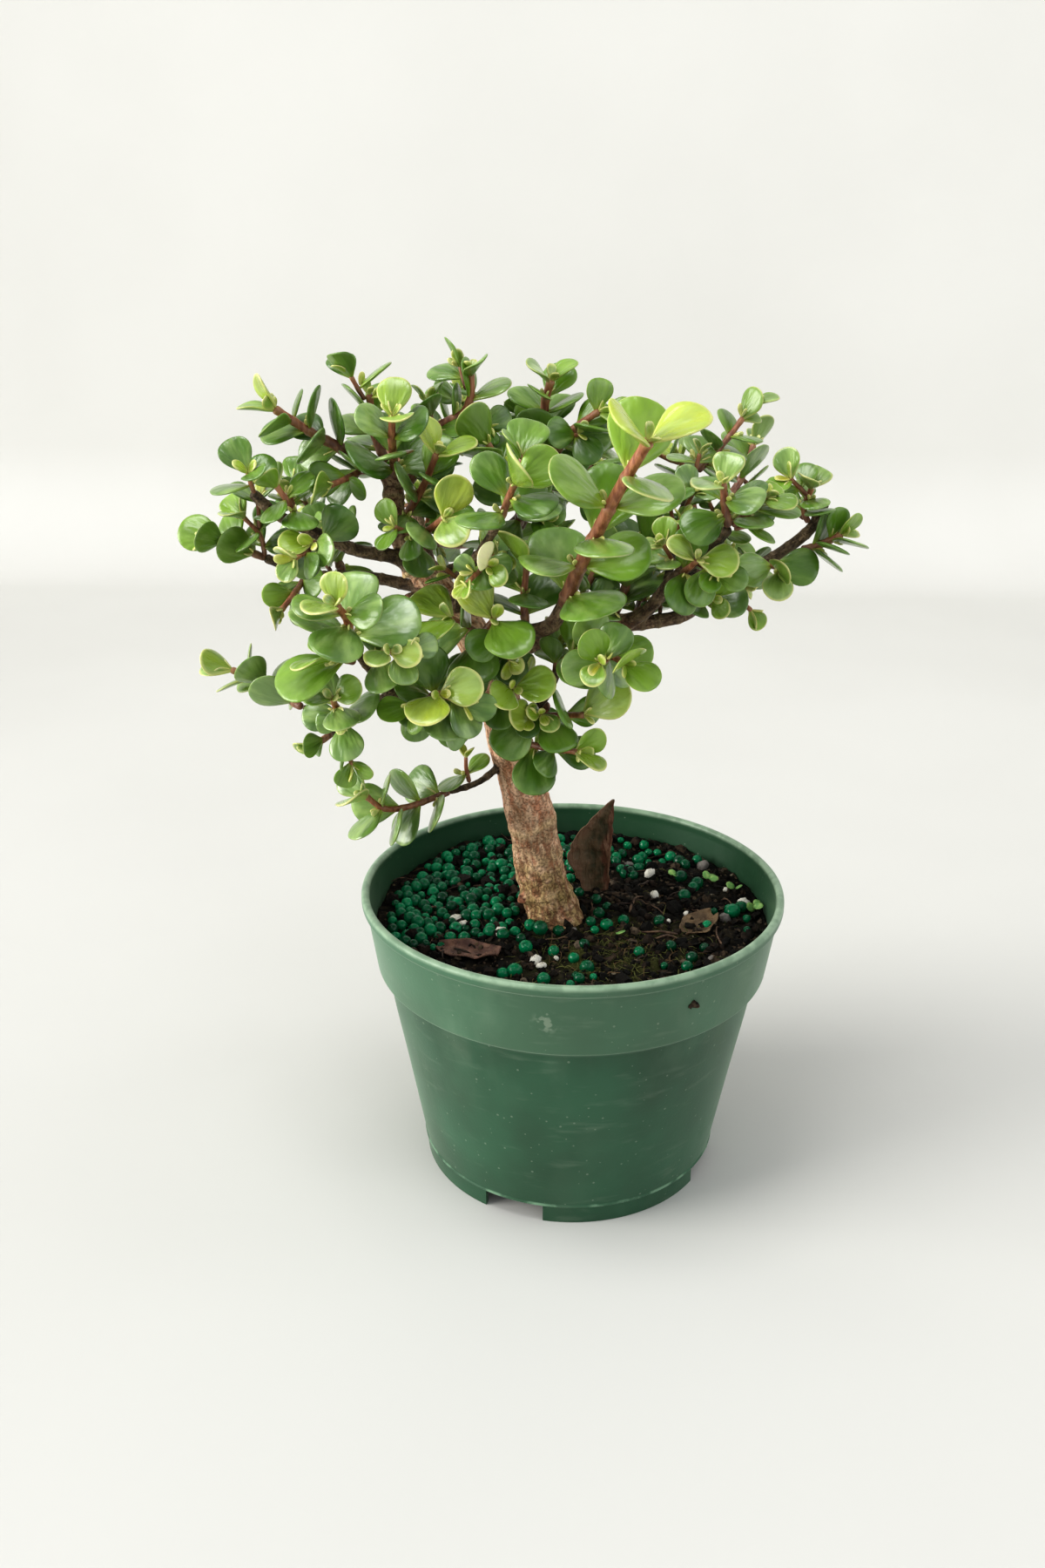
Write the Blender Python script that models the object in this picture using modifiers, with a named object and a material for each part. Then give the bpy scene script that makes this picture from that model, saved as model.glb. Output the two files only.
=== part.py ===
"""An elephant bush bonsai in its green plastic nursery pot.

The script makes the pot, the soil with its prills, the woody trunk with its limbs, one node for each
leafy stem, and three dead leaves on the soil. Blender's scene is in metres, +Z up, with the origin on the
pot's axis, on the surface that the pot stands on. Every named size here is in millimetres, and MM takes
it to metres where a mesh is made. X runs to the right and Y away from the front.
"""

from collections import namedtuple

import bmesh
import bpy
import numpy as np

MM = 0.001

# The pot, moulded in one piece. Heights are from the ground, radii from the pot's axis.
POT_HEIGHT = 107.7
RIM_RADIUS = 76.0
LIP_WIDTH = 2.8
LIP_DEPTH = 3.6
WALL = 1.3
BAND_TOP_RADIUS = 74.4
BAND_FOOT_RADIUS = 70.9
BAND_FOOT = 78.4
BODY_TOP_RADIUS = 67.5
BODY_FOOT_RADIUS = 54.9
FOOT_RADIUS = 54.2
FOOT_HEIGHT = 6.8
FOOT_WALL = 1.8
BEAD = 0.45
FLOOR_RAISE = 5.0
FLOOR_PAD_RADIUS = 34.0
FLOOR_SLOPE = 3.5
POT_STEPS = 32
DRAINS = 4
DRAIN_TURN = -110.5
DRAIN_SPAN = 22.0
DRAIN_INNER = 41.0

# The soil fills the pot to below its lip, higher at the back, and mounds a little at the trunk.
SOIL_LEVEL = 93.5
SOIL_SLOPE = 0.05
MOUND = 1.6
MOUND_SPREAD = 26.0
SOIL_RINGS = (16.0, 32.0, 46.0, 58.0)
JOIN_GAP = 0.3

# Prills and perlite grains that lie in the soil's surface, thick on the left and thin on the right.
PRILLS = 27
PRILL_RADIUS = 2.15
PRILL_SUNK = 0.35
PRILL_SPACING = 4.9
PRILL_FIELD = 61.0
PRILL_SEED = 5

# The trunk's foot in the soil, and the dead leaves: one upright behind the trunk, two on the soil.
TRUNK_FOOT = (-6.0, 0.0)
TRUNK_CLEARING = 14.0
ROOT_PLAY = 0.5
DRY_LEAF_THICK = 0.9
DRY_LEAF_ROOT = 6.0
DRY_LEAF_ROWS = (
    (9.0, 18.6, 0.0, 4.5), (7.4, 18.0, 10.0, 7.2), (6.6, 17.6, 19.0, 7.9), (9.6, 17.5, 28.0, 5.6),
    (14.6, 17.4, 38.0, 0.5),
)
DRY_LEAF_ACROSS = (0.96, 0.28)
DRY_LEAF_CURL = 2.2
FALLEN_THICK = 0.8
FALLEN_LIFT = 0.9
FALLEN_LEAVES = (
    ("fallen_leaf_front", (-36, -28), -22, 24, 12),
    ("fallen_leaf_right", (46, -6), 40, 15, 12),
)

# How the plant grows. Angles are in degrees.
LIGHT = np.array((-0.15, -0.62, 0.77))
LIGHT_PULL = 0.9
LEVELLING = 0.4
OPEN_AT_BASE = 64
OPEN_AT_TIP = 40
BLADE_WIDTH = 0.92
BLADE_THICK = 0.13
BLADE_ARCH = 0.06
WIDEST_AT = 0.6
CLEAR = 0.5
FIRST_PAIR = 2.6
TIP_BARE = 1.2
# What a blade that would touch another tries in turn: opened more, turned round the stem, and shrunk.
TRIES = (
    (0, 0, 1.0), (14, 0, 1.0), (-14, 0, 1.0), (0, 20, 1.0), (0, -20, 1.0), (26, 0, 0.95), (-26, 0, 0.95),
    (14, 32, 0.9), (14, -32, 0.9), (-14, 32, 0.9), (-14, -32, 0.9), (0, 45, 0.8), (0, -45, 0.8),
    (20, 0, 0.7), (-20, 0, 0.7), (0, 0, 0.6),
)
LARGE_BLADE = 18.5
SMALL_BLADE = 14.5

Limb = namedtuple("Limb", "name route radii")
Stem = namedtuple("Stem", "name limb route radii blades pairs roll seed")
Blade = namedtuple("Blade", "root along across face length width thick share")

# Each limb: its name, the points that it runs through, and its radius along the way.
LIMBS = (
    Limb("trunk", (
        (-6, 0, 66), (-6.5, 0, 91), (-13, 0, 121), (-17, -1, 143), (-23, -2, 165), (-28, -3, 184),
        (-33, -4, 197), (-39, -4, 207), (-46, -3, 215), (-53, 0, 223)),
        (9.4, 9, 8.8, 8.1, 7.7, 6.7, 6.2, 5.9, 5.7, 4.8)),
    Limb("cut_stub", ((-47, -2, 214), (-51, -5, 213.5), (-56, -9, 213)), (3.1, 3.1, 3)),
    Limb("low_stub", ((-22, -5, 172), (-14, -8, 176), (-9, -9, 178)), (2.4, 2.2, 2)),
    Limb("up", ((-53, 0, 222), (-58, 2, 231), (-61, 3, 240), (-61, 5, 255)), (4.4, 3.9, 3.8, 3.3)),
    Limb("left_mid", (
        (-50, -1, 219), (-60, -4, 227), (-72, -8, 230), (-86, -12, 237), (-96, -16, 243),
        (-103, -18, 250)), (2.9, 2.5, 2.2, 2, 1.9, 1.9)),
    Limb("left_low", (
        (-45, 2, 214), (-58, 8, 215), (-72, 10, 217), (-91, 8, 218), (-105, 2, 225)),
        (2.4, 2.2, 2, 1.8, 1.6)),
    Limb("left_up", ((-61, 4, 250), (-67, 2, 257), (-74, -2, 260)), (2.6, 2.1, 1.9)),
    Limb("front", (
        (-31, -4, 198), (-21, -14, 204), (-9, -22, 209), (-4, -28, 218)), (3, 2.8, 2.6, 2.4)),
    Limb("right", (
        (-30, -3, 194), (-18, 4, 195), (-1, 8, 200), (18, 12, 201), (38, 16, 204), (47, 18, 215),
        (62, 20, 220), (78, 20, 232), (83, 20, 242)), (3.4, 3.1, 2.9, 2.6, 2.4, 2.3, 2.2, 2, 1.9)),
    Limb("right_fore", (
        (15, 11, 201), (24, 5, 208), (32, 0, 220), (44, -6, 233), (48, -10, 239)),
        (2.6, 2.3, 2.2, 1.9, 1.7)),
    Limb("centre", ((-48, 1, 218), (-37, 14, 222), (-22, 22, 231), (-11, 26, 249)), (2.6, 2.3, 2.1, 2)),
    Limb("fore", ((-41, -6, 210), (-33, -22, 229), (-24, -34, 245)), (2.2, 1.7, 1.4)),
    Limb("left_fore", (
        (-26, -4, 172), (-42, -10, 178), (-52, -18, 182), (-61, -26, 186), (-71, -30, 180),
        (-79, -32, 175)), (2.3, 1.9, 1.8, 1.7, 1.6, 1.5)),
    Limb("left_fore_up", ((-58, -23, 185), (-64, -32, 195), (-70, -40, 207)), (1.8, 1.6, 1.5)),
    Limb("left_lowest", ((-71, -30, 180), (-80, -28, 180), (-89, -27, 182)), (1.5, 1.4, 1.3)),
    Limb("left_foot", ((-22, -3, 158), (-32, -8, 150), (-43, -12, 147)), (1.5, 1.3, 1.2)),
    Limb("right_twig", ((-20, -5, 171), (-11, -14, 181), (-4, -19, 197)), (1.9, 1.5, 1.3)),
    Limb("right_high", ((30, 2, 216), (33, 16, 232), (40, 30, 250)), (1.7, 1.5, 1.3)),
    Limb("back", ((-50, 4, 218), (-56, 28, 232), (-62, 50, 246)), (3.4, 2.6, 2)),
    Limb("back_right", ((-32, 18, 225), (-14, 40, 238), (2, 58, 246)), (2.2, 2, 1.7)),
    Limb("back_far", ((36, 17, 203), (44, 38, 220), (54, 56, 236)), (2.2, 1.9, 1.6)),
)

# Each leafy stem: its name, the limb that carries it, its route, its radius at the base and the tip, the
# length of its blades at the base and the tip, its pairs of blades, the roll of the first pair, and a seed.
STEMS = (
    Stem("front_shoot", "front", (
        (-4, -28, 218), (1, -36, 233), (6, -44, 245), (12, -52, 259), (19, -60, 273)),
        (2.8, 1.8), (20.5, 18), 6, 67, 6),
    Stem("fore_top", "fore", (
        (-24, -34, 245), (-21, -38, 253), (-19, -42, 258)), (1.4, 1.1), (16, 15), 3, 22, 1),
    Stem("rosette", "left_fore_up", (
        (-70, -40, 207), (-70, -46, 217), (-72, -52, 223)), (1.7, 1.2), (19.5, 12.5), 4, 0, 2),
    Stem("rosette_under", "left_fore_up", (
        (-68, -36, 200), (-71, -42, 203), (-74, -46, 205)), (1.6, 1.2), (19, 16), 2, 45, 6),
    Stem("rosette_low", "left_fore", (
        (-74, -31, 179), (-76, -38, 186), (-76, -44, 191)), (1.4, 1.1), (15.5, 11), 3, 0, 3),
    Stem("rosette_right", "left_fore_up", (
        (-64, -34, 199), (-60, -42, 205), (-57, -48, 208)), (1.3, 1), (12, 10), 2, 67, 6),
    Stem("left_fore_mid", "left_fore", (
        (-49, -15, 182), (-46, -26, 187), (-43, -38, 191)), (1.4, 1.1), (17, 15.5), 3, 22, 2),
    Stem("up_front", "up", (
        (-60, 2, 251), (-59, -12, 265), (-58, -18, 274)), (1.8, 1.2), (17, 11), 4, 0, 6),
    Stem("up_left", "up", (
        (-62, 4, 254), (-67, 6, 265), (-68, 4, 278)), (1.9, 1.2), (15, 11), 4, 67, 1),
    Stem("left_high", "left_up", (
        (-74, -2, 260), (-78, -4, 263), (-85, -6, 267), (-96, -10, 275)),
        (2.2, 1.4), (15.5, 12.5), 5, 67, 8),
    Stem("left_high_low", "left_up", (
        (-67, 0, 257), (-73, -8, 254), (-79, -14, 252)), (1.4, 1), (14, 11), 3, 45, 9),
    Stem("left_mid_tip", "left_mid", (
        (-89, -14, 239), (-91, -18, 246), (-95, -20, 253)), (1.3, 1), (14.5, 10), 3, 0, 4),
    Stem("left_mid_low", "left_mid", (
        (-81, -10, 234), (-82, -20, 235), (-83, -26, 236)), (1.3, 1), (15, 11), 2, 67, 8),
    Stem("left_tip", "left_low", (
        (-105, 2, 225), (-111, 0, 228), (-117, -4, 232), (-122, -8, 233)),
        (1.5, 1), (14.5, 12.5), 4, 22, 1),
    Stem("left_tip_up", "left_low", (
        (-105, 3, 224), (-105, -2, 233), (-110, -4, 240)), (1, 0.8), (12.5, 10.5), 3, 0, 8),
    Stem("left_low_fore", "left_low", (
        (-92, 8, 218), (-94, -4, 215), (-98, -10, 210)), (1.3, 1), (12.5, 9.5), 3, 22, 3),
    Stem("left_end", "left_fore", (
        (-79, -32, 175), (-82, -33, 173), (-85, -34, 171)), (1.3, 1), (9, 7.5), 2, 45, 10),
    Stem("left_lowest", "left_lowest", (
        (-89, -27, 182), (-93, -24, 183), (-103, -22, 189), (-113, -22, 193)),
        (1.6, 1.1), (14.5, 12), 5, 45, 8),
    Stem("foot_left", "left_foot", (
        (-43, -12, 147), (-56, -18, 144), (-64, -23, 145), (-70, -26, 151)),
        (1.3, 1.1), (15, 14.5), 5, 0, 1),
    Stem("foot_sprout", "left_foot", (
        (-36, -9, 149), (-37, -11, 155), (-37, -12, 160)), (1, 0.7), (10, 9), 1, 67, 12),
    Stem("up_right", "up", (
        (-60, 4, 244), (-55, 9, 252), (-48, 12, 266), (-39, 14, 271), (-36, 14, 277), (-36, 14, 284)),
        (2, 1.2), (15.5, 11), 6, 22, 2),
    Stem("up_mid", "up", (
        (-58, -1, 238), (-50, -8, 251), (-45, -12, 262)), (1.6, 1.1), (17, 13), 4, 45, 5),
    Stem("top", "centre", (
        (-11, 26, 249), (-12, 27, 260), (-12, 26, 273), (-10, 24, 281)),
        (2.3, 1.4), (15.5, 10.5), 6, 67, 6),
    Stem("top_right", "centre", (
        (-14, 24, 242), (-8, 20, 258), (-2, 18, 266), (6, 16, 272)), (1.9, 1.2), (17, 13), 4, 22, 8),
    Stem("right_high_tip", "right_high", (
        (40, 30, 250), (46, 32, 256), (52, 34, 263), (59, 36, 273)), (1.4, 1), (13, 9.5), 5, 45, 4),
    Stem("right_fork_up", "right_fore", (
        (48, -10, 239), (46, -13, 247), (45, -15, 254)), (1.7, 1.1), (15.5, 12.5), 3, 67, 4),
    Stem("right_fork_out", "right_fore", (
        (46, -8, 237), (54, -10, 244), (59, -10, 249)), (1.4, 1.1), (15, 11), 3, 22, 2),
    Stem("right_low_fore", "right_fore", (
        (32, 0, 220), (36, -10, 226), (38, -16, 230)), (1.4, 1), (15, 12.5), 2, 67, 4),
    Stem("right_tip", "right", (
        (70, 20, 226), (79, 18, 227), (89, 16, 232)), (1.8, 1.2), (15, 13), 4, 67, 8),
    Stem("right_tip_up", "right", (
        (79, 20, 234), (76, 18, 240), (78, 17, 248)), (1.3, 1), (12, 10), 3, 0, 4),
    Stem("right_tip_low", "right", (
        (65, 20, 221), (67, 10, 222), (67, 4, 222)), (1.3, 1), (14.5, 12.5), 2, 0, 10),
    Stem("right_under", "right", (
        (41, 17, 206), (44, 8, 211), (45, 2, 213)), (1.3, 1), (15.5, 12.5), 2, 0, 9),
    Stem("right_under_twig", "right", (
        (46, 18, 214), (53, 17, 211), (60, 14, 206)), (1.1, 0.8), (9, 7.5), 2, 22, 5),
    Stem("right_twig_tip", "right_twig", (
        (-4, -19, 197), (2, -24, 202), (11, -34, 203), (15, -42, 203)),
        (1.4, 1.1), (16, 14), 4, 45, 7),
    Stem("right_twig_low", "right_twig", (
        (-17, -8, 173), (-6, -16, 177), (3, -24, 180)), (1.6, 1.1), (15, 15), 3, 67, 9),
    Stem("foot_right", "trunk", (
        (-20, -3, 163), (-9, -13, 164), (1, -21, 166)), (1.4, 1), (15.5, 11), 3, 67, 1),
    Stem("trunk_front", "trunk", (
        (-34, -8, 198), (-29, -22, 208), (-26, -32, 214)), (1.7, 1.1), (20.5, 18), 2, 22, 12),
    Stem("trunk_fore_low", "trunk", (
        (-28, -9, 182), (-23, -20, 186), (-20, -28, 190)), (1.4, 1.1), (15.5, 14), 2, 67, 3),
    Stem("fore_low", "fore", (
        (-32, -23, 231), (-29, -32, 231), (-27, -38, 232)), (1.1, 0.8), (12, 10), 2, 45, 9),
    Stem("mid_fore", "up", (
        (-55, -1, 230), (-48, -14, 238), (-42, -24, 244)), (1.6, 1.1), (16, 14), 3, 67, 3),
    Stem("centre_mid", "centre", (
        (-20, 20, 233), (-21, 8, 248), (-30, 4, 263)), (1.8, 1.1), (17.5, 14), 5, 45, 3),
    Stem("centre_right", "front", (
        (-16, -18, 205), (-17, -22, 217), (-16, -24, 229)), (1.7, 1.1), (16, 14), 3, 45, 2),
    Stem("right_mid", "right", (
        (11, 12, 199), (18, 16, 217), (25, 18, 235)), (1.9, 1.2), (18, 14.5), 5, 45, 9),
    Stem("right_mid_low", "right", (
        (-7, 8, 198), (1, 10, 210), (8, 14, 224)), (1.8, 1.1), (15.5, 13), 4, 45, 7),
    Stem("back_left", "back", (
        (-62, 50, 246), (-70, 62, 252), (-80, 70, 258)), (2.2, 1.2), (16, 11), 5, 0, 10),
    Stem("back_left_low", "left_low", (
        (-80, 9, 218), (-88, 30, 226), (-98, 46, 234)), (1.8, 1.1), (15.5, 11), 5, 67, 1),
    Stem("back_top", "back", (
        (-57, 30, 233), (-50, 42, 252), (-42, 48, 270)), (1.9, 1.2), (15.5, 11), 5, 22, 7),
    Stem("back_centre", "back_right", (
        (2, 58, 246), (8, 68, 252), (12, 78, 258)), (1.8, 1.1), (16, 11), 4, 0, 5),
    Stem("back_centre_up", "back_right", (
        (-20, 34, 234), (-20, 44, 252), (-16, 50, 268)), (1.8, 1.1), (15.5, 11), 5, 22, 3),
    Stem("back_down", "back", (
        (-53, 20, 227), (-40, 40, 222), (-26, 58, 220)), (1.8, 1.1), (16, 11), 4, 67, 12),
    Stem("back_far_right", "back_far", (
        (54, 56, 236), (60, 64, 244), (64, 70, 254)), (1.7, 1.1), (15, 11), 4, 45, 9),
    Stem("back_far_up", "back_far", (
        (46, 42, 223), (40, 50, 238), (36, 54, 252)), (1.7, 1.1), (15.5, 11), 4, 22, 12),
    Stem("back_right_low", "right", (
        (20, 12, 201), (24, 32, 210), (28, 50, 218)), (1.8, 1.1), (16, 12), 4, 22, 4),
)


def unit(vector):
    return vector / np.linalg.norm(vector, axis=-1, keepdims=True)


def smooth(points, steps):
    """A Catmull-Rom curve through the points, with so many steps from each point to the next."""
    points = np.asarray(points, float)
    ends = 2 * points[0] - points[1], 2 * points[-1] - points[-2]
    a = np.vstack([ends[0], points[:-2]])
    b = points[:-1]
    c = points[1:]
    d = np.vstack([points[2:], ends[1]])
    t = (np.arange(steps) / steps)[:, None, None]
    bend = 2 * a - 5 * b + 4 * c - d
    sway = 3 * b - a - 3 * c + d
    curve = b + (c - a) * t / 2 + bend * t**2 / 2 + sway * t**3 / 2
    curve = curve.transpose(1, 0, 2).reshape(-1, points.shape[1])
    return np.vstack([curve, points[-1]])


def tube_of(piece, steps=2):
    """The smoothed middle line of a limb or stem with its radius at each point."""
    shares = np.linspace(0, 1, len(piece.route))
    radii = np.interp(shares, np.linspace(0, 1, len(piece.radii)), piece.radii)
    line = smooth(np.column_stack([piece.route, radii]), steps)
    return line[:, :3], line[:, 3]


def at_length(line, length):
    """The point at a length along a line, and the direction there."""
    steps = np.diff(line, axis=0)
    sizes = np.linalg.norm(steps, axis=1)
    ends = np.cumsum(sizes)
    i = min(np.searchsorted(ends, length), len(steps) - 1)
    return line[i] + steps[i] * (length - ends[i] + sizes[i]) / sizes[i], steps[i] / sizes[i]


def bark_gap(points, tubes):
    """The smallest gap between the points and the bark of the tubes; it is negative inside one."""
    gap = np.inf
    for line, radii in tubes:
        run = np.diff(line, axis=0)
        away = points[:, None] - line[:-1]
        share = np.clip((away * run).sum(-1) / (run**2).sum(-1), 0, 1)
        thick = radii[:-1] + share * np.diff(radii)
        gap = min(gap, (np.linalg.norm(away - share[..., None] * run, axis=-1) - thick).min())
    return gap


def start_length(stem, limbs):
    """How far along its line the stem's tube starts: just past its limb's end, or just out of the bark."""
    line, radii = tube_of(stem)
    end = limbs[stem.limb][0]
    if np.allclose(end[-1], line[0]):
        bend = np.arccos(unit(line[1] - line[0]) @ unit(end[-1] - end[-2]))
        return JOIN_GAP / np.cos(bend) + radii[0] * np.tan(bend)
    turns = np.linspace(0, 2 * np.pi, 12, endpoint=False)[:, None]
    for length in np.arange(1.0, 14.0, 0.1):
        middle, forward = at_length(line, length)
        side = unit(np.cross(forward, (0.3, 0.5, 0.8)))
        ring = middle + radii[0] * (np.cos(turns) * side + np.sin(turns) * np.cross(forward, side))
        if bark_gap(ring, [limbs[stem.limb]]) > JOIN_GAP:
            break
    return length


def half_width(share, width):
    """Half the blade's width at a share of its length: it swells to its widest place, and has a round tip."""
    tip = np.sqrt(np.clip(1 - ((share - WIDEST_AT) / (1 - WIDEST_AT)) ** 2, 0, 1))
    wedge = np.sin(np.pi / 2 * np.clip(share / WIDEST_AT, 0, 1)) ** 1.15
    return width / 2 * np.where(share > WIDEST_AT, tip, wedge)


ALONG, ACROSS = np.meshgrid((0.22, 0.4, 0.58, 0.76, 0.9, 1.0), (-1, -0.5, 0, 0.5, 1), indexing="ij")


def spots(blade):
    """Points spread over the blade's middle surface."""
    side = ACROSS * half_width(ALONG, blade.width)
    grid = ALONG[..., None] * blade.length * blade.along + side[..., None] * blade.across
    return blade.root + grid.reshape(-1, 3)


def meets(blade, other, gap):
    """Whether either blade has a spot inside the other's slab, widened by the gap all round."""
    if np.linalg.norm(blade.root - other.root) > blade.length + other.length + gap:
        return False
    for guest, host in ((blade, other), (other, blade)):
        local = (spots(guest) - host.root) @ np.column_stack([host.along, host.across, host.face])
        x, y, z = local.T
        within = (x > 0.3 * host.length) & (x < host.length + gap)
        within &= np.abs(y) < half_width(x / host.length, host.width) + gap
        if (within & (np.abs(z) < gap + (guest.thick + host.thick) / 2)).any():
            return True
    return False


def blade_at(stem, line, place, share, turn, opening, twist, length):
    """A blade that leaves the stem's line at a place, turned round the line and opened away from it."""
    root, forward = at_length(line, place)
    level = unit(np.cross(forward, (0, 1, 0) if abs(forward[2]) > 0.95 else (0, 0, 1)))
    side = np.cos(turn) * level + np.sin(turn) * np.cross(forward, level)
    along = np.cos(opening) * forward + np.sin(opening) * side
    face = np.sin(opening) * forward - np.cos(opening) * side + LIGHT_PULL * LIGHT
    along = unit(along - LEVELLING * (along @ LIGHT) * LIGHT)
    face = face + twist * np.cross(along, face)
    face = unit(face - (face @ along) * along)
    thick = np.clip(BLADE_THICK * length, 1.3, 2.2)
    root = root + 0.4 * stem.radii[-1] * along
    return Blade(root, along, np.cross(face, along), face, length, BLADE_WIDTH * length, thick, share)


def grow(stem, limbs, wood, grown):
    """The stem's blades: opposite pairs a quarter turn apart, moved or shrunk where they would touch."""
    rng = np.random.default_rng(stem.seed)
    line, _ = tube_of(stem)
    whole = np.linalg.norm(np.diff(line, axis=0), axis=1).sum()
    first = start_length(stem, limbs) + FIRST_PAIR
    mine = []
    for pair in range(stem.pairs):
        share = pair / max(stem.pairs - 1, 1)
        place = first + (whole - TIP_BARE - first) * share
        turn = np.radians(stem.roll + 90 * pair + 9 * rng.normal())
        for across in (0, np.pi):
            wander = rng.normal(size=4)
            length = np.interp(share, (0, 1), stem.blades) * (1 + 0.09 * wander[0])
            opening = np.interp(share, (0, 1), (OPEN_AT_BASE, OPEN_AT_TIP)) + 8 * wander[1]
            for more, round_by, scale in TRIES:
                blade = blade_at(
                    stem, line, place, share, turn + across + np.radians(8 * wander[2] + round_by),
                    np.radians(opening + more), 0.25 * wander[3], length * scale,
                )
                touches = any(meets(blade, other, CLEAR) for other in grown)
                touches = touches or any(meets(blade, other, 0.1) for other in mine)
                if not touches and bark_gap(spots(blade), wood) > CLEAR + blade.thick / 2:
                    mine.append(blade)
                    break
    return mine


def material(name, colour, roughness, metallic=0.0):
    """A Principled material of one colour."""
    made = bpy.data.materials.new(name)
    made.use_nodes = True
    shader = made.node_tree.nodes["Principled BSDF"]
    shader.inputs["Base Color"].default_value = (*colour, 1.0)
    shader.inputs["Roughness"].default_value = roughness
    shader.inputs["Metallic"].default_value = metallic
    made.diffuse_color = (*colour, 1.0)
    return made


def add_object(name, mesh, collection):
    made = bpy.data.objects.new(name, mesh)
    collection.objects.link(made)
    return made


def applied(item):
    """The mesh that the object's modifiers give."""
    bpy.context.view_layer.update()
    return bpy.data.meshes.new_from_object(item.evaluated_get(bpy.context.evaluated_depsgraph_get()))


def mesh_from(work, name):
    """A mesh from a bmesh in millimetres."""
    bmesh.ops.scale(work, vec=(MM, MM, MM), verts=work.verts)
    mesh = bpy.data.meshes.new(name)
    work.to_mesh(mesh)
    work.free()
    return mesh


def moved_to(work, points):
    """Puts the bmesh's vertices at these points."""
    for vertex, point in zip(work.verts, points):
        vertex.co = point


def turned(name, profile, collection):
    """A closed shape turned round the Z axis from its profile of (radius, height) points."""
    work = bmesh.new()
    corners = [work.verts.new((radius, 0, height)) for radius, height in profile]
    for first, second in zip(corners, corners[1:]):
        work.edges.new((first, second))
    made = add_object(name, mesh_from(work, name), collection)
    screw = made.modifiers.new("turn", "SCREW")
    screw.steps = POT_STEPS
    screw.render_steps = POT_STEPS
    screw.use_merge_vertices = True
    screw.merge_threshold = 0.0001
    return made


def round_tube(name, line, radii, sides, collection):
    """A tube along a line, from a bevelled curve with filled caps, as a closed mesh."""
    curve = bpy.data.curves.new(name, "CURVE")
    curve.dimensions = "3D"
    curve.bevel_depth = MM
    curve.bevel_resolution = (sides - 4) // 2
    curve.use_fill_caps = True
    spline = curve.splines.new("POLY")
    spline.points.add(len(line) - 1)
    for point, place, radius in zip(spline.points, line, radii):
        point.co = (*(place * MM), 1.0)
        point.radius = radius
    guide = add_object(name + "_line", curve, collection)
    mesh = applied(guide)
    bpy.data.objects.remove(guide)
    work = bmesh.new()
    work.from_mesh(mesh)
    bmesh.ops.remove_doubles(work, verts=work.verts, dist=0.00001)
    bmesh.ops.recalc_face_normals(work, faces=work.faces)
    work.to_mesh(mesh)
    work.free()
    return add_object(name, mesh, collection)


def joined(base, pieces, operation="UNION"):
    """Joins the pieces to the base, or cuts them from it, by one Boolean, and removes them."""
    bench = bpy.data.collections.new("bench")
    bpy.context.scene.collection.children.link(bench)
    for piece in pieces:
        for home in piece.users_collection:
            home.objects.unlink(piece)
        bench.objects.link(piece)
    step = base.modifiers.new(operation.lower(), "BOOLEAN")
    step.operation = operation
    step.operand_type = "COLLECTION"
    step.collection = bench
    mesh = applied(base)
    base.modifiers.clear()
    base.data = mesh
    for piece in list(bench.objects):
        bpy.data.objects.remove(piece)
    bpy.data.collections.remove(bench)
    return base


def pot_profile():
    """The pot's section: from the middle of its floor up the inside, over the lip, down and under."""
    inner_foot = BODY_FOOT_RADIUS - WALL
    raised = FLOOR_RAISE + WALL
    lip_mid = RIM_RADIUS - LIP_WIDTH / 2
    lip = [
        (lip_mid + LIP_WIDTH / 2 * np.cos(angle), POT_HEIGHT - LIP_WIDTH / 2 * (1 - np.sin(angle)))
        for angle in np.radians((180, 135, 90, 45, 0))
    ]
    pad_edge = FLOOR_PAD_RADIUS + FLOOR_SLOPE
    return [
        (0, WALL), (FLOOR_PAD_RADIUS, WALL), (pad_edge, raised), (inner_foot, raised),
        (BODY_TOP_RADIUS - WALL, BAND_FOOT - WALL), (BAND_FOOT_RADIUS - WALL, BAND_FOOT + WALL),
        (BAND_TOP_RADIUS - WALL, POT_HEIGHT - LIP_DEPTH), *lip,
        (RIM_RADIUS - 0.3, POT_HEIGHT - LIP_DEPTH + 0.4),
        (BAND_TOP_RADIUS, POT_HEIGHT - LIP_DEPTH - 0.8), (BAND_FOOT_RADIUS, BAND_FOOT + 1.4),
        (BODY_TOP_RADIUS, BAND_FOOT - 0.4),
        (BODY_FOOT_RADIUS, FOOT_HEIGHT + 2 * BEAD), (BODY_FOOT_RADIUS + BEAD, FOOT_HEIGHT + BEAD),
        (FOOT_RADIUS, FOOT_HEIGHT), (FOOT_RADIUS, 0), (FOOT_RADIUS - FOOT_WALL, 0),
        (FOOT_RADIUS - FOOT_WALL, FLOOR_RAISE), (pad_edge + WALL, FLOOR_RAISE),
        (FLOOR_PAD_RADIUS + WALL, 0), (0, 0),
    ]


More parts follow.
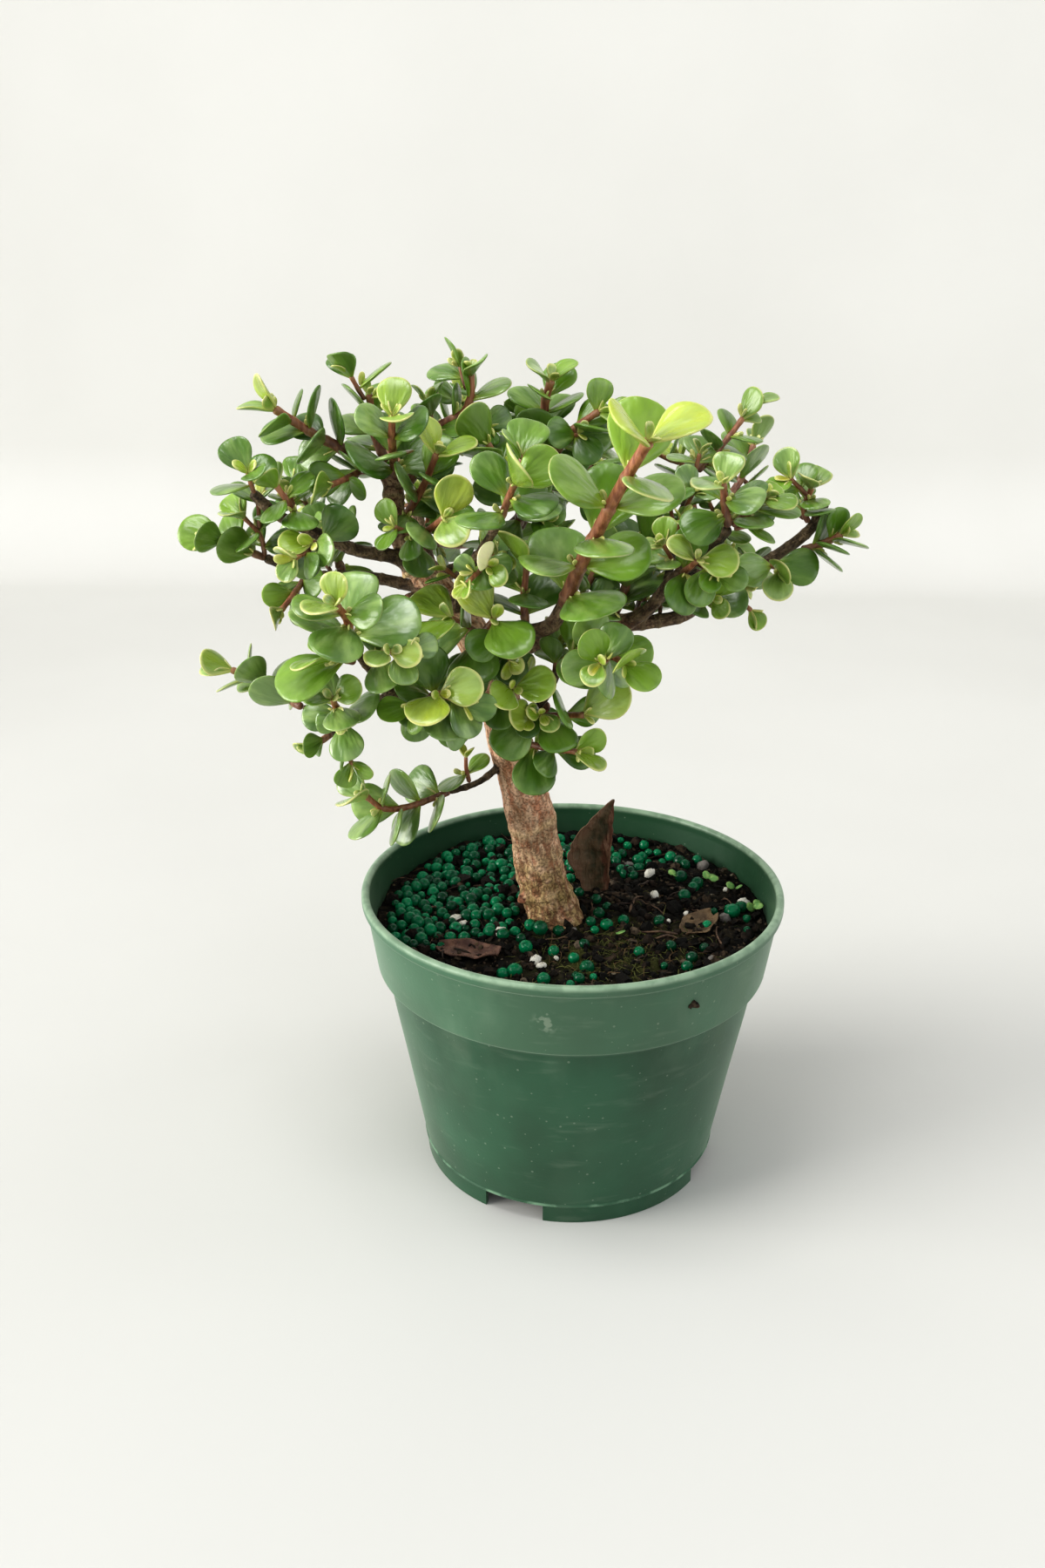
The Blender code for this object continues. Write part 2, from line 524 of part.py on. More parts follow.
def make_pot(collection, cutters):
    """The pot, with a drain notch cut through its floor and foot in four places."""
    pot = turned("pot", pot_profile(), collection)
    top = FLOOR_RAISE + WALL + 0.3
    reach = FOOT_RADIUS + 4 - DRAIN_INNER
    middle = DRAIN_INNER + reach / 2
    for number in range(DRAINS):
        turn = np.radians(DRAIN_TURN + 360 / DRAINS * number)
        work = bmesh.new()
        bmesh.ops.create_cube(work, size=1)
        bmesh.ops.scale(work, vec=(reach, DRAIN_SPAN, 2 * top), verts=work.verts)
        cutter = add_object(f"drain_{number + 1}", mesh_from(work, "drain"), cutters)
        cutter.location = (middle * np.cos(turn) * MM, middle * np.sin(turn) * MM, 0)
        cutter.rotation_euler.z = turn
        cutter.hide_render = True
        cutter.display_type = "WIRE"
        step = pot.modifiers.new(cutter.name, "BOOLEAN")
        step.operation = "DIFFERENCE"
        step.object = cutter
    return pot


def soil_height(x, y):
    """The soil's height: a slope up to the back and a low mound at the trunk."""
    mound = MOUND * np.exp(-((x - TRUNK_FOOT[0]) ** 2 + (y - TRUNK_FOOT[1]) ** 2) / (2 * MOUND_SPREAD**2))
    return SOIL_LEVEL + SOIL_SLOPE * y + mound


def soil_profile():
    """The soil's section: its top rings, and then the pot's inside all the way down, a gap in from it."""
    shrink = 2 - 1 / np.cos(np.pi / POT_STEPS)
    edge_share = (SOIL_LEVEL - BAND_FOOT - WALL) / (POT_HEIGHT - LIP_DEPTH - BAND_FOOT - WALL)
    edge = BAND_FOOT_RADIUS + edge_share * (BAND_TOP_RADIUS - BAND_FOOT_RADIUS) - WALL
    pad_edge = FLOOR_PAD_RADIUS + FLOOR_SLOPE
    low = FLOOR_RAISE + WALL + JOIN_GAP
    wall = [
        (edge - 0.4, SOIL_LEVEL), (BAND_FOOT_RADIUS - WALL, BAND_FOOT + WALL),
        (BODY_TOP_RADIUS - WALL, BAND_FOOT - WALL), (BODY_FOOT_RADIUS - WALL, low),
    ]
    inside = [(radius * shrink - 2 * JOIN_GAP, height) for radius, height in wall]
    floor = [(pad_edge, low), (FLOOR_PAD_RADIUS - JOIN_GAP, WALL + JOIN_GAP), (0, WALL + JOIN_GAP)]
    return [(0, SOIL_LEVEL), *((ring, SOIL_LEVEL) for ring in SOIL_RINGS), *inside, *floor]


def prill_places():
    """Where the prills lie: thicker on the left, clear of each other and of the plant."""
    rng = np.random.default_rng(PRILL_SEED)
    kept = []
    clearings = [(*TRUNK_FOOT, TRUNK_CLEARING), (DRY_LEAF_ROWS[0][0], DRY_LEAF_ROWS[0][1], 10.0)]
    clearings += [(*middle, length / 2 + 3) for _, middle, _, length, _ in FALLEN_LEAVES]
    while len(kept) < PRILLS:
        x, y = rng.uniform(-PRILL_FIELD, PRILL_FIELD, 2)
        likely = 0.25 + 0.75 / (1 + np.exp(x / 8))
        if np.hypot(x, y) > PRILL_FIELD or rng.uniform() > likely:
            continue
        if any(np.hypot(x - cx, y - cy) < reach for cx, cy, reach in clearings):
            continue
        if all(np.hypot(x - px, y - py) > PRILL_SPACING for px, py in kept):
            kept.append((x, y))
    return kept


def make_prill(number, x, y, collection):
    work = bmesh.new()
    bmesh.ops.create_icosphere(work, subdivisions=1, radius=PRILL_RADIUS)
    centre = (x, y, soil_height(x, y) + PRILL_RADIUS * (1 - 2 * PRILL_SUNK))
    bmesh.ops.translate(work, vec=centre, verts=work.verts)
    return add_object(f"prill_{number}", mesh_from(work, "prill"), collection)


def sheet(name, place, across_cells, along_cells, thick, collection):
    """A thin curved plate: a grid whose points go where place(u, v) says, given its wall by Solidify."""
    work = bmesh.new()
    bmesh.ops.create_grid(work, x_segments=across_cells, y_segments=along_cells, size=1)
    moved_to(work, [place(vertex.co.x, (vertex.co.y + 1) / 2) for vertex in work.verts])
    bmesh.ops.recalc_face_normals(work, faces=work.faces)
    made = add_object(name, mesh_from(work, name), collection)
    wall = made.modifiers.new("wall", "SOLIDIFY")
    wall.thickness = thick * MM
    wall.offset = 0
    made.data = applied(made)
    made.modifiers.clear()
    return made


def dry_leaf_place(more):
    """The upright leaf's surface: rows from root to tip, curled forward at the edges, and a root below."""
    rows = np.array(DRY_LEAF_ROWS)
    heights = np.concatenate([[-DRY_LEAF_ROOT - more], rows[:, 2]])
    centres = np.vstack([rows[0, :2], rows[:, :2]])
    halves = np.concatenate([[rows[0, 3]], rows[:, 3]]) + more

    def place(u, v):
        row = v * (len(heights) - 1)
        at = [np.interp(row, range(len(heights)), column) for column in (*centres.T, heights, halves)]
        side = u * at[3]
        curl = -DRY_LEAF_CURL * (side / rows[:, 3].max()) ** 2
        return (
            at[0] + side * DRY_LEAF_ACROSS[0],
            at[1] + side * DRY_LEAF_ACROSS[1] + curl,
            soil_height(*DRY_LEAF_ROWS[0][:2]) + at[2],
        )

    return place


def fallen_leaf_place(middle, heading, length, width):
    """A dead leaf on the soil: an egg-shaped outline that follows the soil and lifts at its tip."""
    along = np.array((np.cos(np.radians(heading)), np.sin(np.radians(heading))))
    across = np.array((-along[1], along[0]))

    def place(u, v):
        outline = np.sin(np.pi * (0.06 + 0.88 * v)) ** 0.7
        x, y = np.array(middle) + (v - 0.5) * length * along + u * width / 2 * outline * across
        return x, y, soil_height(x, y) + FALLEN_LIFT + 2.0 * v**3 + 0.8 * u**2 * v

    return place


def make_blade(blade, number, collection):
    """A fleshy blade: a sphere of few faces flattened to the blade's outline, and arched back to its tip."""
    work = bmesh.new()
    rings = 3 if blade.length > LARGE_BLADE else 2
    corners = 6 if blade.length < SMALL_BLADE else 8
    bmesh.ops.create_uvsphere(work, u_segments=corners, v_segments=rings, radius=1)
    ball = np.array([vertex.co for vertex in work.verts])
    ring = np.hypot(ball[:, 0], ball[:, 1])
    on_ring = ring > 0.01
    y, x = np.where(on_ring, ball[:, :2].T / np.maximum(ring, 0.01), 0)
    share = (1 + x) / 2
    half = half_width(share, blade.width)
    side = np.where(on_ring, y * half / np.maximum(np.sqrt(np.clip(1 - x**2, 0, 1)), 1e-6), 0)
    rise = ball[:, 2] * blade.thick / 2 - BLADE_ARCH * blade.length * share**2
    points = blade.root + np.outer(share * blade.length, blade.along) + np.outer(side, blade.across)
    moved_to(work, points + np.outer(rise, blade.face))
    bmesh.ops.recalc_face_normals(work, faces=work.faces)
    return add_object(f"blade_{number}", mesh_from(work, "blade"), collection)


def make_stem(stem, limbs, blades, collection):
    """A leafy stem: its tube, from its limb's bark to its tip, with every blade fused to it."""
    line, radii = tube_of(stem)
    start = start_length(stem, limbs)
    first, _ = at_length(line, start)
    lengths = np.concatenate([[0], np.cumsum(np.linalg.norm(np.diff(line, axis=0), axis=1))])
    kept = lengths > start + 1.5
    line = np.vstack([first, line[kept]])
    radii = np.concatenate([[np.interp(start, lengths, radii)], radii[kept]])
    tube = round_tube(stem.name, line, radii, 4, collection)
    return joined(tube, [make_blade(blade, number, collection) for number, blade in enumerate(blades)])


def make_trunk(collection):
    """The trunk with its limbs, all one wood."""
    trunk, *limbs = LIMBS
    base = round_tube("trunk", *tube_of(trunk, 1), 12, collection)
    return joined(base, [round_tube(limb.name, *tube_of(limb, 1), 6, collection) for limb in limbs])


def main():
    for leftover in list(bpy.data.objects):
        bpy.data.objects.remove(leftover)
    scene = bpy.context.scene.collection
    bonsai = bpy.data.collections.new("elephant_bush_bonsai")
    cutters = bpy.data.collections.new("cutters")
    scene.children.link(bonsai)
    scene.children.link(cutters)

    pot = make_pot(bonsai, cutters)
    pot.data.materials.append(material("green_plastic", (0.05, 0.12, 0.06), 0.5))

    limbs = {limb.name: tube_of(limb, 1) for limb in LIMBS}
    stems = {stem.name: tube_of(stem) for stem in STEMS}
    grown = []
    for stem in STEMS:
        wood = list(limbs.values()) + [stems[other.name] for other in STEMS if other is not stem]
        blades = grow(stem, limbs, wood, grown)
        grown += blades
        made = make_stem(stem, limbs, blades, bonsai)
        made.data.materials.clear()
        made.data.materials.append(material(f"leaf_{stem.name}", (0.16, 0.30, 0.06), 0.35))

    trunk = make_trunk(bonsai)
    trunk.data.materials.append(material("bark", (0.16, 0.09, 0.06), 0.85))

    dry_leaf = sheet("dry_leaf", dry_leaf_place(0), 4, 6, DRY_LEAF_THICK, bonsai)
    dry_leaf.data.materials.append(material("dead_leaf_upright", (0.09, 0.06, 0.04), 0.7))
    for name, middle, heading, length, width in FALLEN_LEAVES:
        place = fallen_leaf_place(middle, heading, length, width)
        fallen = sheet(name, place, 2, 4, FALLEN_THICK, bonsai)
        fallen.data.materials.append(material(f"dead_{name}", (0.14, 0.07, 0.05), 0.7))

    soil = turned("soil", soil_profile(), bonsai)
    soil.data = applied(soil)
    soil.modifiers.clear()
    for vertex in soil.data.vertices:
        if vertex.co.z > (SOIL_LEVEL - 1) * MM:
            vertex.co.z = soil_height(vertex.co.x / MM, vertex.co.y / MM) * MM
    prills = [make_prill(number, x, y, bonsai) for number, (x, y) in enumerate(prill_places())]
    joined(soil, prills)
    line, radii = tube_of(LIMBS[0], 1)
    root_line = np.vstack([line[0] - (0, 0, JOIN_GAP), line[:3]])
    root_radii = np.concatenate([radii[:1], radii[:3]]) + ROOT_PLAY
    hole = round_tube("root_hole", root_line, root_radii, 12, bonsai)
    slot = sheet("leaf_slot", dry_leaf_place(ROOT_PLAY), 4, 6, DRY_LEAF_THICK + 2 * ROOT_PLAY, bonsai)
    joined(soil, [hole, slot], "DIFFERENCE")
    soil.data.materials.append(material("potting_soil", (0.03, 0.02, 0.015), 0.95))

    for made in bonsai.objects:
        made.data.shade_smooth()
        made.data.set_sharp_from_angle(angle=np.radians(40))


main()
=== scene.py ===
"""The dressed model of an elephant bush bonsai in its green plastic nursery pot.

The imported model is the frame, and every section below makes one piece of the real thing, or a group of
like pieces, where the frame has it. Sizes are in millimetres, and MM takes them to metres; materials read
metres. X runs to the right, Y away from the front, Z up, with the origin on the pot's axis, under the pot.
"""

from collections import namedtuple

import bpy
import numpy as np
from mathutils import Matrix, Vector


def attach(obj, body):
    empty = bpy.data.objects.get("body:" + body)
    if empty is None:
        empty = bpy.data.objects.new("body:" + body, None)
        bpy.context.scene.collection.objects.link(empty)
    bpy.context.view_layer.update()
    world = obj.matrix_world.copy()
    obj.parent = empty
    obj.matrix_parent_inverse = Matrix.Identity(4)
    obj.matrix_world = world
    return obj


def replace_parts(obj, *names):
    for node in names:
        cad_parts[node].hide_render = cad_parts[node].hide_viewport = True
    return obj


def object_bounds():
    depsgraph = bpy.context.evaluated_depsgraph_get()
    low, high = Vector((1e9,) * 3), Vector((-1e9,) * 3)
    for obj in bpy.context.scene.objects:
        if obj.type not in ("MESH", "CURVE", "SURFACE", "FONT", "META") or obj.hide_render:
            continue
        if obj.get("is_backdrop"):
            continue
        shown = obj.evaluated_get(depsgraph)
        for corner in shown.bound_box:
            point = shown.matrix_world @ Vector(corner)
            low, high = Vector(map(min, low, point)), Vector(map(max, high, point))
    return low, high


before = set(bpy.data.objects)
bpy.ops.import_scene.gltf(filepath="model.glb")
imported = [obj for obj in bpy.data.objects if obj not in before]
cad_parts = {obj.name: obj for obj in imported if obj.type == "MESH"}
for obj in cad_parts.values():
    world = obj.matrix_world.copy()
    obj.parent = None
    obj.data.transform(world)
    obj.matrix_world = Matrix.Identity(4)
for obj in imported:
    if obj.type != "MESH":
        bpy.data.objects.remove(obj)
cad_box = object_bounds()


# The nursery pot. It is polypropylene, injection moulded in one piece: a rolled lip, a band that steps in
# so that pots stack, a tapered body, and a foot ring with four drain notches. Its section is turned round
# the axis with every corner rounded, and the notches are cut out of it.

MM = 0.001
POT_TURNS = 160
POT_CORNERS = (
    (0, 1.3, 0), (34, 1.3, 1.5), (37.5, 6.3, 1.5), (53.6, 6.3, 2), (66.2, 77.1, 1.4), (69.6, 79.7, 1.2),
    (73.1, 104.1, 0.7), (73.2, 107.7, 1.35), (76, 107.7, 1.35), (76, 104.2, 0.8), (74.4, 103.2, 0.7),
    (70.9, 79.9, 1), (67.5, 77.9, 1.2), (65.45, 65, 5), (61.45, 44, 5), (55, 8.2, 0.4), (55.35, 7.25, 0.35),
    (54.2, 6.7, 0.3), (54.2, 0, 0.4), (52.4, 0, 0.4), (52.4, 5, 0.8), (38.8, 5, 1.2), (35.3, 0, 0.8),
    (0, 0, 0),
)
DRAIN_TURNS = (-110.5, -20.5, 69.5, 159.5)
DRAIN_SPAN = 22
DRAIN_FROM = 41
DRAIN_TO = 58
DRAIN_TOP = 6.6
PLASTIC_GREEN = (0.022, 0.066, 0.034)
PLASTIC_WORN = (0.030, 0.104, 0.054)
DUST = (0.30, 0.36, 0.27)
SMUDGE = (-0.0075, -0.0724, 0.0926)
BAND_PALE = (0.22, 0.38, 0.24)
INNER_PAINTED_SHADE = (0.013, 0.058, 0.024)
BEAD_PALE = (0.24, 0.40, 0.26)
LIP_PAINTED_HIGHLIGHT = (0.27, 0.38, 0.26)


def unit(vector):
    """The vectors along the last axis, each at length 1."""
    return vector / np.linalg.norm(vector, axis=-1, keepdims=True)


def rounded(corners, steps=6):
    """A section of points from corners of (radius, height, fillet). Each corner gives way to the curve
    (1 - t)^2 a + 2 t (1 - t) corner + t^2 b, where a and b lie one fillet before it and after it."""
    corners = np.array(corners, float)
    middle = corners[1:-1, None, :2]
    fillet = corners[1:-1, None, 2:]
    before = middle + fillet * unit(corners[:-2, None, :2] - middle)
    after = middle + fillet * unit(corners[2:, None, :2] - middle)
    t = np.linspace(0, 1, steps)[None, :, None]
    arcs = (1 - t) ** 2 * before + 2 * t * (1 - t) * middle + t**2 * after
    return np.vstack([corners[:1, :2], arcs.reshape(-1, 2), corners[-1:, :2]])


def shells(rings, ends):
    """The points and faces of closed shells. rings has the shape (shell, ring, place on the ring, 3), and
    ends has the two poles of each shell. Quads join the rings and triangles fan out from the poles, and all
    are turned round if the first one's volume, the sum of a . (b x c) over its faces, comes out negative."""
    count, rows, columns, _ = rings.shape
    each = rows * columns + 2
    points = np.concatenate([rings.reshape(count, -1, 3), ends], axis=1)
    row, column = np.meshgrid(np.arange(rows - 1) * columns, np.arange(columns), indexing="ij")
    right = (column + 1) % columns
    quads = np.stack([row + column, row + right, row + columns + right, row + columns + column], -1)
    quads = quads.reshape(-1, 4)
    place = np.arange(columns)
    last = (rows - 1) * columns
    fans = np.concatenate([
        np.stack([place * 0 + each - 2, (place + 1) % columns, place], -1),
        np.stack([place * 0 + each - 1, last + place, last + (place + 1) % columns], -1),
    ])
    first = points[0]
    triangles = np.concatenate([quads[:, [0, 1, 2]], quads[:, [0, 2, 3]], fans])
    a, b, c = (first[triangles[:, corner]] for corner in range(3))
    if (a * np.cross(b, c)).sum() < 0:
        quads = quads[:, ::-1]
        fans = fans[:, ::-1]
    shift = (np.arange(count) * each)[:, None, None]
    faces = (shift + quads).reshape(-1, 4).tolist() + (shift + fans).reshape(-1, 3).tolist()
    return points.reshape(-1, 3), faces


def mark(mesh, **attributes):
    """Gives the mesh's points named values, a number or a vector for each."""
    for label, values in attributes.items():
        values = np.asarray(values, float)
        kind, field = ("FLOAT_VECTOR", "vector") if values.ndim == 2 else ("FLOAT", "value")
        mesh.attributes.new(label, kind, "POINT").data.foreach_set(field, values.ravel())


def object_of(name, points, faces, finish=None):
    """An object in the scene from points in millimetres. One that has a finish is shaded smooth."""
    mesh = bpy.data.meshes.new(name)
    mesh.from_pydata((points * MM).tolist(), [], faces)
    if finish:
        mesh.shade_smooth()
        mesh.materials.append(finish)
    made = bpy.data.objects.new(name, mesh)
    bpy.context.scene.collection.objects.link(made)
    return made


def piece(name, points, faces, finish, slot, **attributes):
    """An object that rides on the root body, with the attributes of its points. Its slot is not used."""
    made = object_of(name, points, faces, finish)
    mark(made.data, **attributes)
    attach(made, "root")
    return made


def gathered(parts):
    """The points and faces of several shells as those of one mesh."""
    shifts = np.cumsum([0] + [len(points) for points, _ in parts]).tolist()
    faces = [[corner + shift for corner in face] for (_, own), shift in zip(parts, shifts) for face in own]
    return np.vstack([points for points, _ in parts]), faces


def modify(made, kind, **settings):
    """Adds a modifier of the kind with these settings."""
    added = made.modifiers.new(kind.lower(), kind)
    for name, value in settings.items():
        setattr(added, name, value)


def settle(made):
    """Gives the object the mesh that its modifiers make, and drops them."""
    bpy.context.view_layer.update()
    made.data = bpy.data.meshes.new_from_object(made.evaluated_get(bpy.context.evaluated_depsgraph_get()))
    made.modifiers.clear()


def add(kind, inputs=None, tree=None, **settings):
    """A new node of the kind, in the tree of the sockets that feed it where none is given. inputs gives
    each input its value, or the socket that feeds it."""
    sockets = {name: own for name, own in (inputs or {}).items() if isinstance(own, bpy.types.NodeSocket)}
    if tree is None:
        tree = next(iter(sockets.values())).id_data
    made = tree.nodes.new("ShaderNode" + kind)
    for name, value in settings.items():
        setattr(made, name, value)
    for name, value in (inputs or {}).items():
        if name in sockets:
            tree.links.new(value, made.inputs[name])
        else:
            made.inputs[name].default_value = value
    return made


def finish_of(name, reads, roughness, shine=0.5, **constants):
    """A new material, its shader with these constants, and the sockets that it reads, one for each word:
    place is the object's own coordinates, grain the coordinates along wood or leaf, others plain values."""
    made = bpy.data.materials.new(name)
    made.use_nodes = True
    tree = made.node_tree
    shader = tree.nodes["Principled BSDF"]
    constants = {"Roughness": roughness, "Specular_IOR_Level": shine, "Coat_Roughness": 0.3, **constants}
    for label, value in constants.items():
        shader.inputs[label.replace("_", " ")].default_value = value
    sockets = [
        add("TexCoord", tree=tree).outputs["Object"] if word == "place" else
        add("Attribute", tree=tree, attribute_name=word).outputs["Vector" if word == "grain" else "Fac"]
        for word in reads.split()
    ]
    return made, shader, *sockets


def finished(shader, colour, height=None, rise=0.0, strength=1.0, roughness=None):
    """Feeds the shader its colour, its normal from a height, which is rise metres at 1, and its roughness."""
    links = shader.id_data.links
    links.new(colour, shader.inputs["Base Color"])
    if height:
        bump = add("Bump", {"Height": height, "Distance": rise, "Strength": strength})
        links.new(bump.outputs["Normal"], shader.inputs["Normal"])
    if roughness:
        links.new(roughness, shader.inputs["Roughness"])


def colour_mix(share, first, second):
    """The colour that is first at share 0 and second at share 1. A colour is a tuple or a socket."""
    first, second = ((*value, 1) if isinstance(value, tuple) else value for value in (first, second))
    return add("Mix", {0: share, 6: first, 7: second}, data_type="RGBA").outputs[2]


def sums(operation, first, second):
    """One step of arithmetic on two numbers or sockets."""
    return add("Math", {0: first, 1: second}, operation=operation).outputs[0]


def times(first, second):
    """The product of two numbers or sockets."""
    return sums("MULTIPLY", first, second)


def painted(colour, *coats):
    """The colour under coats laid on in turn. A coat is its tone, its mask, and its strength if not full."""
    for tone, mask, *strength in coats:
        colour = colour_mix(times(mask, *strength) if strength else mask, colour, tone)
    return colour


def ramped(value, low, high, start=0.0, end=1.0):
    """The value taken smoothly from start at low to end at high."""
    inputs = {"Value": value, 1: low, 2: high, 3: start, 4: end}
    return add("MapRange", inputs, interpolation_type="SMOOTHSTEP").outputs[0]


def group_with(name, **inputs):
    """A new shader node group with these inputs and one mask: the group, its inputs' sockets, the mask's."""
    tree = bpy.data.node_groups.new(name, "ShaderNodeTree")
    for label, value in inputs.items():
        kind = "NodeSocketVector" if isinstance(value, tuple) else "NodeSocketFloat"
        tree.interface.new_socket(label, in_out="INPUT", socket_type=kind).default_value = value
    tree.interface.new_socket("Mask", in_out="OUTPUT", socket_type="NodeSocketFloat")
    return tree, tree.nodes.new("NodeGroupInput").outputs, tree.nodes.new("NodeGroupOutput").inputs["Mask"]


# Patches are soft cloudy spots: noise of a size, cut off between two levels.
patches, given, mask = group_with(
    "patches", Vector=(0.0, 0.0, 0.0), Scale=100.0, Detail=3.0, Low=0.4, High=0.6,
)
cloud = add("TexNoise", {label: given[label] for label in ("Vector", "Scale", "Detail")})
patches.links.new(ramped(cloud.outputs["Fac"], given["Low"], given["High"]), mask)

# Grains are small round specks: the middles of random cells, each cell with its own size of speck.
grains, given, mask = group_with("grains", Vector=(0.0, 0.0, 0.0), Scale=300.0, Size=0.2)
cells = add("TexVoronoi", {label: given[label] for label in ("Vector", "Scale")})
chance = add("SeparateColor", {0: cells.outputs["Color"]}).outputs[0]
reach = times(given["Size"], sums("POWER", chance, 3.0))
grains.links.new(sums("LESS_THAN", cells.outputs["Distance"], reach), mask)


def mask_of(vector, scale, low, high, detail=3.0):
    """A mask of cloudy patches."""
    inputs = {"Vector": vector, "Scale": scale, "Detail": detail, "Low": low, "High": high}
    return add("Group", inputs, node_tree=patches).outputs["Mask"]


def specks_of(vector, scale, size):
    """A mask of small round specks."""
    return add("Group", {"Vector": vector, "Scale": scale, "Size": size}, node_tree=grains).outputs["Mask"]


def noise_of(vector, scale, detail=2.0):
    """Plain noise, for a bumpy surface."""
    return add("TexNoise", {"Vector": vector, "Scale": scale, "Detail": detail}).outputs["Fac"]


def stretched(vector, scale):
    """The coordinates scaled by three factors, so that a pattern on them runs long or short."""
    return add("Mapping", {"Vector": vector, "Scale": scale}).outputs["Vector"]


def near(place, point, far, close):
    """A mask that is 0 at the distance far from a point and rises to 1 at close."""
    gap = add("VectorMath", {0: place, 1: point}, operation="DISTANCE").outputs["Value"]
    return ramped(gap, far, close)


plastic, shader, place = finish_of(
    "moulded_green_plastic", "place", 0.4, 0.3,
    Sheen_Weight=0.3, Sheen_Roughness=0.35, Sheen_Tint=(0.75, 0.95, 0.72, 1),
)
height = add("SeparateXYZ", {0: place}).outputs["Z"]
haze = mask_of(stretched(place, (1, 1, 0.5)), 60, 0.45, 0.85, 6)
across = add("VectorMath", {0: stretched(place, (1, 1, 0))}, operation="LENGTH").outputs["Value"]
inner = sums("LESS_THAN", across, ramped(height, 0.0797, 0.1041, 0.07025, 0.07375))
smudge = times(near(place, SMUDGE, 0.0062, 0.001), mask_of(place, 420, 0.5, 0.62, 1))
bead = times(ramped(height, 0.0066, 0.0074), ramped(height, 0.0086, 0.0078))
bead_patches = ramped(mask_of(place, 150, 0.4, 0.7, 4), 0, 1, 0.05, 0.6)
lip_highlight_patches = ramped(mask_of(place, 220, 0.3, 0.7, 5), 0, 1, 0.6, 1)
colour = painted(
    colour_mix(mask_of(place, 26, 0.3, 0.75), PLASTIC_GREEN, PLASTIC_WORN),
    (DUST, times(haze, ramped(height, 0.046, 0.078, 0.06, 0.2))),
    (BAND_PALE, ramped(height, 0.0765, 0.0795, 0, 0.18)),
    (DUST, mask_of(stretched(place, (1, 1, 5)), 60, 0.56, 0.8, 6), 0.13),
    # The inner wall above 80 mm is painted darker: painted shade inside the pot's hollow.
    (INNER_PAINTED_SHADE, times(inner, sums("GREATER_THAN", height, 0.08)), 0.8),
    (DUST, specks_of(place, 420, 0.2), 0.3),
    (DUST, smudge, 0.45),
    # A pale line is painted along the bead above the foot ring, in patches.
    (BEAD_PALE, times(bead, bead_patches)),
    # The top of the rolled lip is painted pale in patches: a painted highlight along the lip.
    (LIP_PAINTED_HIGHLIGHT, times(ramped(height, 0.1056, 0.1072), lip_highlight_patches)),
)
finished(shader, colour, noise_of(place, 900.0), 0.00005, 0.6, ramped(haze, 0, 1, 0.38, 0.6))

section = rounded(POT_CORNERS)
turns = np.linspace(0, 2 * np.pi, POT_TURNS, endpoint=False)
radius = section[1:-1, None, 0]
height = np.repeat(section[1:-1, 1:], POT_TURNS, axis=1)
rings = np.stack([radius * np.cos(turns), radius * np.sin(turns), height], -1)
ends = np.array([[(0, 0, section[0, 1]), (0, 0, section[-1, 1])]])
pot = piece("nursery_pot", *shells(rings[None], ends), plastic, "pot")

corners = np.array([(x, y, z) for x in (0, 1) for y in (-1, 1) for z in (-1, 1)], float)
box_faces = [(0, 1, 3, 2), (4, 6, 7, 5), (0, 4, 5, 1), (2, 3, 7, 6), (0, 2, 6, 4), (1, 5, 7, 3)]
boxes = []
for turn in np.radians(DRAIN_TURNS):
    away, beside = np.array(((np.cos(turn), np.sin(turn), 0), (-np.sin(turn), np.cos(turn), 0)))
    outward = DRAIN_FROM + (DRAIN_TO - DRAIN_FROM) * corners[:, :1]
    sideways = corners[:, 1:2] * DRAIN_SPAN / 2
    boxes.append((outward * away + sideways * beside + corners[:, 2:] * (0, 0, DRAIN_TOP), box_faces))
notches = object_of("notches", *gathered(boxes))
modify(pot, "BOOLEAN", operation="DIFFERENCE", object=notches)
settle(pot)
bpy.data.objects.remove(notches)
pot.data.set_sharp_from_angle(angle=np.radians(50))
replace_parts(pot, "pot")


# The potting soil. It is a dark peat and bark mix that has sunk below the lip, higher at the back and
# heaped at the trunk. Its top is a fine height field over a disc, and its side and base follow the pot's
# inside, so that it shows in the drain notches.

SOIL_LEVEL = 93.5
SOIL_SLOPE = 0.05
MOUND = 1.6
MOUND_SPREAD = 26
TRUNK_FOOT = (-6, 0)
SOIL_CELLS = 196
SOIL_RADIUS = 71.2
SOIL_STEEP = 0.143
# The side's corners are (radius, height), and a pit is its place, its reach and its depth.
SOIL_SIDE = ((69, 86), (68.2, 79.5), (64.6, 76.8), (51.8, 6.8), (37.2, 6.8), (33.4, 1.7))
PITS = ((29, 48, 10, 3.2), (-35, 21, 6, 1.6), (46, -20, 7, 1.2), (-47, 8, 6, 1.0))
PEAT = (0.0060, 0.0052, 0.0040)
LOAM = (0.026, 0.020, 0.012)
MOSS = (0.060, 0.062, 0.018)
MOSS_AT = (0.015, -0.030, 0.093)
LATTICE = 24


def lumps(points, size, seed):
    """Smooth random values from -1 to 1: a lattice of seeded values with this spacing, and between its
    corners their sum, each weighted by the product of s^2 (3 - 2s) along the three axes."""
    lattice = np.random.default_rng(seed).uniform(-1, 1, (LATTICE,) * 3)
    at = points / size
    cell = np.floor(at).astype(int)
    share = at - cell
    share = share**2 * (3 - 2 * share)
    total = np.zeros(points.shape[:-1])
    for corner in np.ndindex(2, 2, 2):
        weight = np.prod(np.where(corner, share, 1 - share), axis=-1)
        x, y, z = np.moveaxis((cell + corner) % LATTICE, -1, 0)
        total = total + weight * lattice[x, y, z]
    return total


def soil_height(x, y):
    """The soil's plain height: a slope up to the back, and a low mound, exp(-r^2 / 2s^2), at the trunk."""
    away = (x - TRUNK_FOOT[0]) ** 2 + (y - TRUNK_FOOT[1]) ** 2
    return SOIL_LEVEL + SOIL_SLOPE * y + MOUND * np.exp(-away / (2 * MOUND_SPREAD**2))


